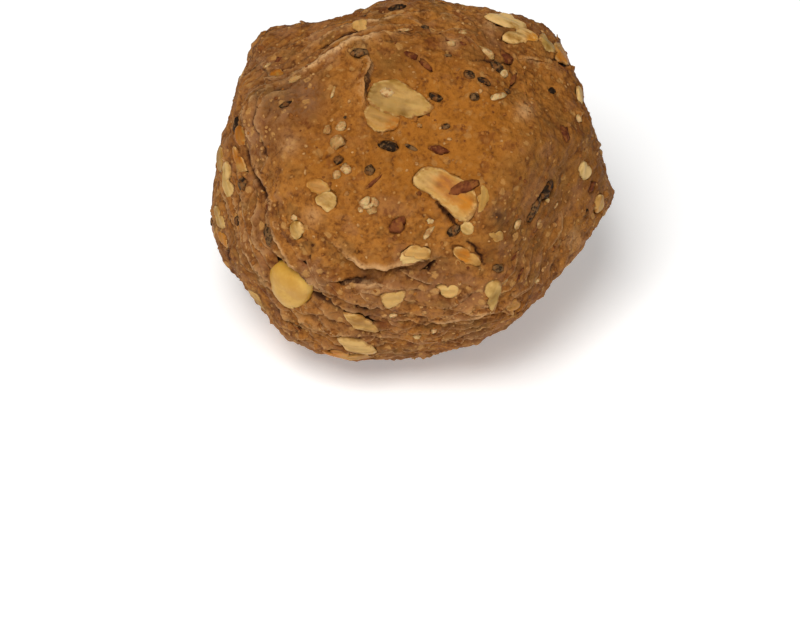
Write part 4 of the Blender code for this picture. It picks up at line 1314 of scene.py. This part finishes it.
golden_kernel.data.materials.append(kernel_finish())
print("the kernel is", round(kernel_seat.length, 1), "mm long")

# %% [markdown]
# Chia seeds are tiny mottled ovals, flax breaks into glossy red-brown slivers, and the pale bits are sesame
# and chopped nut. Each kind starts from one blank with a few dozen faces, and the copies differ by their
# seats and a little noise of their own.

# %% Seeds and nut bits


def bit_points(blank, seat, thickness, depth, roughness, phase):
    """A small rounded piece on its seat, its middle sunk by a share of its thickness."""
    rough = 1 + roughness * noise_at(blank, 1.6, np.array((phase, 0, 0)))
    x, y, z = (blank * rough[:, None]).T
    height = thickness * seat.width / 2
    flat = np.outer(x * seat.length / 2, seat.along) + np.outer(y * seat.width / 2, seat.across)
    return seat.place + flat + np.outer(z * height - depth * height, seat.normal)


def bits(name, seats, segments, rings, thickness, depth, roughness):
    blank, shape = blank_ball(segments, rings)
    parts = [bit_points(blank, seat, thickness, depth, roughness, 3.1 * n) for n, seat in enumerate(seats)]
    numbers = [{"which": np.full(len(blank), own_number(n))} for n in range(len(seats))]
    return joined(name, parts, shape, numbers)


chia = bits("chia_seeds", chia_seats, 10, 6, thickness=0.75, depth=0.4, roughness=0.35)
flax = bits("flax_slivers", flax_seats, 9, 6, thickness=0.5, depth=0.35, roughness=0.8)
pale = bits("nut_bits", pale_seats, 10, 7, thickness=0.8, depth=0.2, roughness=0.55)


CHIA_DARK, CHIA_LIGHT = (0.018, 0.009, 0.004, 1), (0.17, 0.085, 0.030, 1)
FLAX_DARK, FLAX_LIGHT = (0.085, 0.018, 0.006, 1), (0.20, 0.058, 0.016, 1)
NUT_DARK, NUT_LIGHT = (0.40, 0.21, 0.065, 1), (0.60, 0.39, 0.17, 1)
DOUGH_SMEAR = (0.25, 0.088, 0.018, 1)


def seed_finish(name, dark, light, low, high, in_a_mm, gloss, softness=0.0, smeared=0.8):
    """Mottled from dark to light between two steps of noise, with smears of dough."""
    fixed = {"IOR": 1.45, "Specular_IOR_Level": 0.08, "Subsurface_Weight": softness, "Subsurface_Scale": MM}
    material, shader, place = new_material(name, **fixed)
    mottle = grain_of(place, in_a_mm, detail=3, roughness=0.6)
    which = kept(place, "which")
    colour = (mottle + which * 0.16 - 0.08).step(low, high).blend(dark, light)
    smear = grain_of(place, 1.3, detail=3).step(0.51, 0.60) * smeared
    feed(shader, "Base Color", smear.blend(colour, DOUGH_SMEAR))
    feed(shader, "Roughness", gloss + mottle * 0.25)
    feed(shader, "Normal", bump(place, mottle, 0.08, 0.7))
    return material


chia.data.materials.append(seed_finish("chia", CHIA_DARK, CHIA_LIGHT, 0.44, 0.66, 2.4, 0.5, smeared=0.5))
flax.data.materials.append(seed_finish("flax", FLAX_DARK, FLAX_LIGHT, 0.3, 0.7, 1.6, 0.6))
pale.data.materials.append(seed_finish("nut", NUT_DARK, NUT_LIGHT, 0.35, 0.65, 1.2, 0.5, 0.2, smeared=0.6))

# %% [markdown]
# Ground oats and bran leave crumbs on the skin, far too small for a seat of their own. They are the
# smallest meshes here, and random draws with a fixed seed place them. They roughen the outline as on the
# real ball.

# %% Crumbs
CRUMBS = 1500
CRUMB_LENGTHS = (0.25, 0.6)
LARGER, LARGER_SHARE = 1.5, 0.08  # this share of the crumbs is so many times as long
PALE_SHARE = 0.4
PALE_CRUMB = (0.30, 0.125, 0.032, 1), (0.52, 0.28, 0.10, 1)  # dark and light
BROWN_CRUMB = (0.12, 0.032, 0.008, 1), (0.33, 0.12, 0.022, 1)
draw = random.Random(SEED + 2)
skin_tree = BVHTree.FromPolygons(skin_points.tolist(), faces)
pale_crumbs, brown_crumbs = [], []
for number, direction in spiral_directions(CRUMBS, draw, 0.6):
    length = draw.uniform(*CRUMB_LENGTHS) * (LARGER if draw.random() < LARGER_SHARE else 1)
    heading = direction_of(draw.uniform(0, 360), draw.uniform(-60, 60))
    is_pale = draw.random() < PALE_SHARE
    if angle_between(direction, FOOT) < FOOT_CLEARANCE:
        continue
    place, normal, *_ = skin_tree.ray_cast(Vector((0, 0, 0)), Vector(direction))
    seat = seat_at(np.array(place), np.array(normal), heading, length, length * draw.uniform(0.5, 0.9))
    (pale_crumbs if is_pale else brown_crumbs).append(seat)
crumb_shape = {"segments": 6, "rings": 4, "thickness": 0.8, "depth": 0.1, "roughness": 0.6}
crumbs_pale = bits("pale_crumbs", pale_crumbs, **crumb_shape)
crumbs_brown = bits("brown_crumbs", brown_crumbs, **crumb_shape)
crumbs_pale.data.materials.append(seed_finish("pale_crumb", *PALE_CRUMB, 0.35, 0.65, 1.2, 0.6))
crumbs_brown.data.materials.append(seed_finish("brown_crumb", *BROWN_CRUMB, 0.3, 0.62, 1.2, 0.6))

# %% [markdown]
# The floor is a plain pale sheet, far wider than the view, and the light is a studio's: one large soft lamp
# from the upper left front, a weaker one from the right, and a white surround that fills the shade.

# %% Floor and light
FLOOR_SIZE = 6.0
FLOOR_SHADE, FLOOR_LIGHT = (0.90, 0.90, 0.89, 1), (0.92, 0.92, 0.91, 1)
FLOOR_GLOW = 0.28  # keeps the floor near white
SURROUND = 0.20
bpy.ops.object.select_all(action="DESELECT")
bpy.ops.mesh.primitive_grid_add(x_subdivisions=8, y_subdivisions=8, size=FLOOR_SIZE)
floor = bpy.context.object
floor.name = floor.data.name = "floor"
fixed = {"Roughness": 0.7, "Emission_Color": (1, 1, 1, 1), "Emission_Strength": FLOOR_GLOW}
material, shader, place = new_material("pale_floor", **fixed)
clouds = grain_of(place, 0.002).step(0.3, 0.7)
feed(shader, "Base Color", clouds.blend(FLOOR_SHADE, FLOOR_LIGHT))
floor.data.materials.append(material)
floor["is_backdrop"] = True


def soft_lamp(name, turn, height, distance, size, power):
    """A square lamp aimed at the ball, from a turn round it (0 is the viewer's side, left is minus)."""
    data = bpy.data.lights.new(name, "AREA")
    data.shape, data.size, data.energy = "SQUARE", size, power
    lamp = bpy.data.objects.new(name, data)
    bpy.context.scene.collection.objects.link(lamp)
    turn, height = math.radians(turn), math.radians(height)
    way = Vector((math.sin(turn) * math.cos(height), -math.cos(turn) * math.cos(height), math.sin(height)))
    lamp.location = Vector(MIDDLE * MM) + way * distance
    lamp.rotation_euler = way.to_track_quat("Z", "Y").to_euler()


soft_lamp("key", turn=-19, height=60, distance=0.9, size=0.42, power=7.5)
soft_lamp("fill", turn=30, height=20, distance=1.1, size=0.6, power=0.6)
world = bpy.data.worlds.new("studio")
world.use_nodes = True
world.node_tree.nodes["Background"].inputs["Color"].default_value = (1, 1, 1, 1)
world.node_tree.nodes["Background"].inputs["Strength"].default_value = SURROUND
bpy.context.scene.world = world
bpy.context.scene.view_settings.view_transform = "Standard"
print("lit by", [light.name for light in bpy.data.lights])

# %% [markdown]
# The camera stands where the photo was taken from: 40 degrees above the ball, with a long lens. The photo
# has its middle beside the ball's, so the camera aims at the point that lies in the photo's middle.

# %% Camera
camera_data = bpy.data.cameras.new("camera")
camera_data.lens, camera_data.sensor_width = FOCAL_LENGTH, SENSOR
camera = bpy.data.objects.new("camera", camera_data)
bpy.context.scene.collection.objects.link(camera)
aside = np.array((PHOTO_SIZE[0] / 2 - BALL_PIXEL[0], BALL_PIXEL[1] - PHOTO_SIZE[1] / 2, 0)) / PIXELS_PER_MM
aim = Vector(in_frame([aside])[0])
camera.location = in_frame([(0, 0, VIEW_DISTANCE)])[0]
camera.rotation_euler = (aim - camera.location).to_track_quat("-Z", "Y").to_euler()
camera_data.clip_start, camera_data.clip_end = 0.01, 20
bpy.context.scene.camera = camera
print("the camera is", round(camera.location.length, 3), "m away")

# %% [markdown]
# The ball's look must not outgrow its solid. So the boxes round both are shown side by side at the end.

# %% Finish
boxes = {"cad": cad_box, "visual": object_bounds()}
{name: [list(corner) for corner in box] for name, box in boxes.items()}
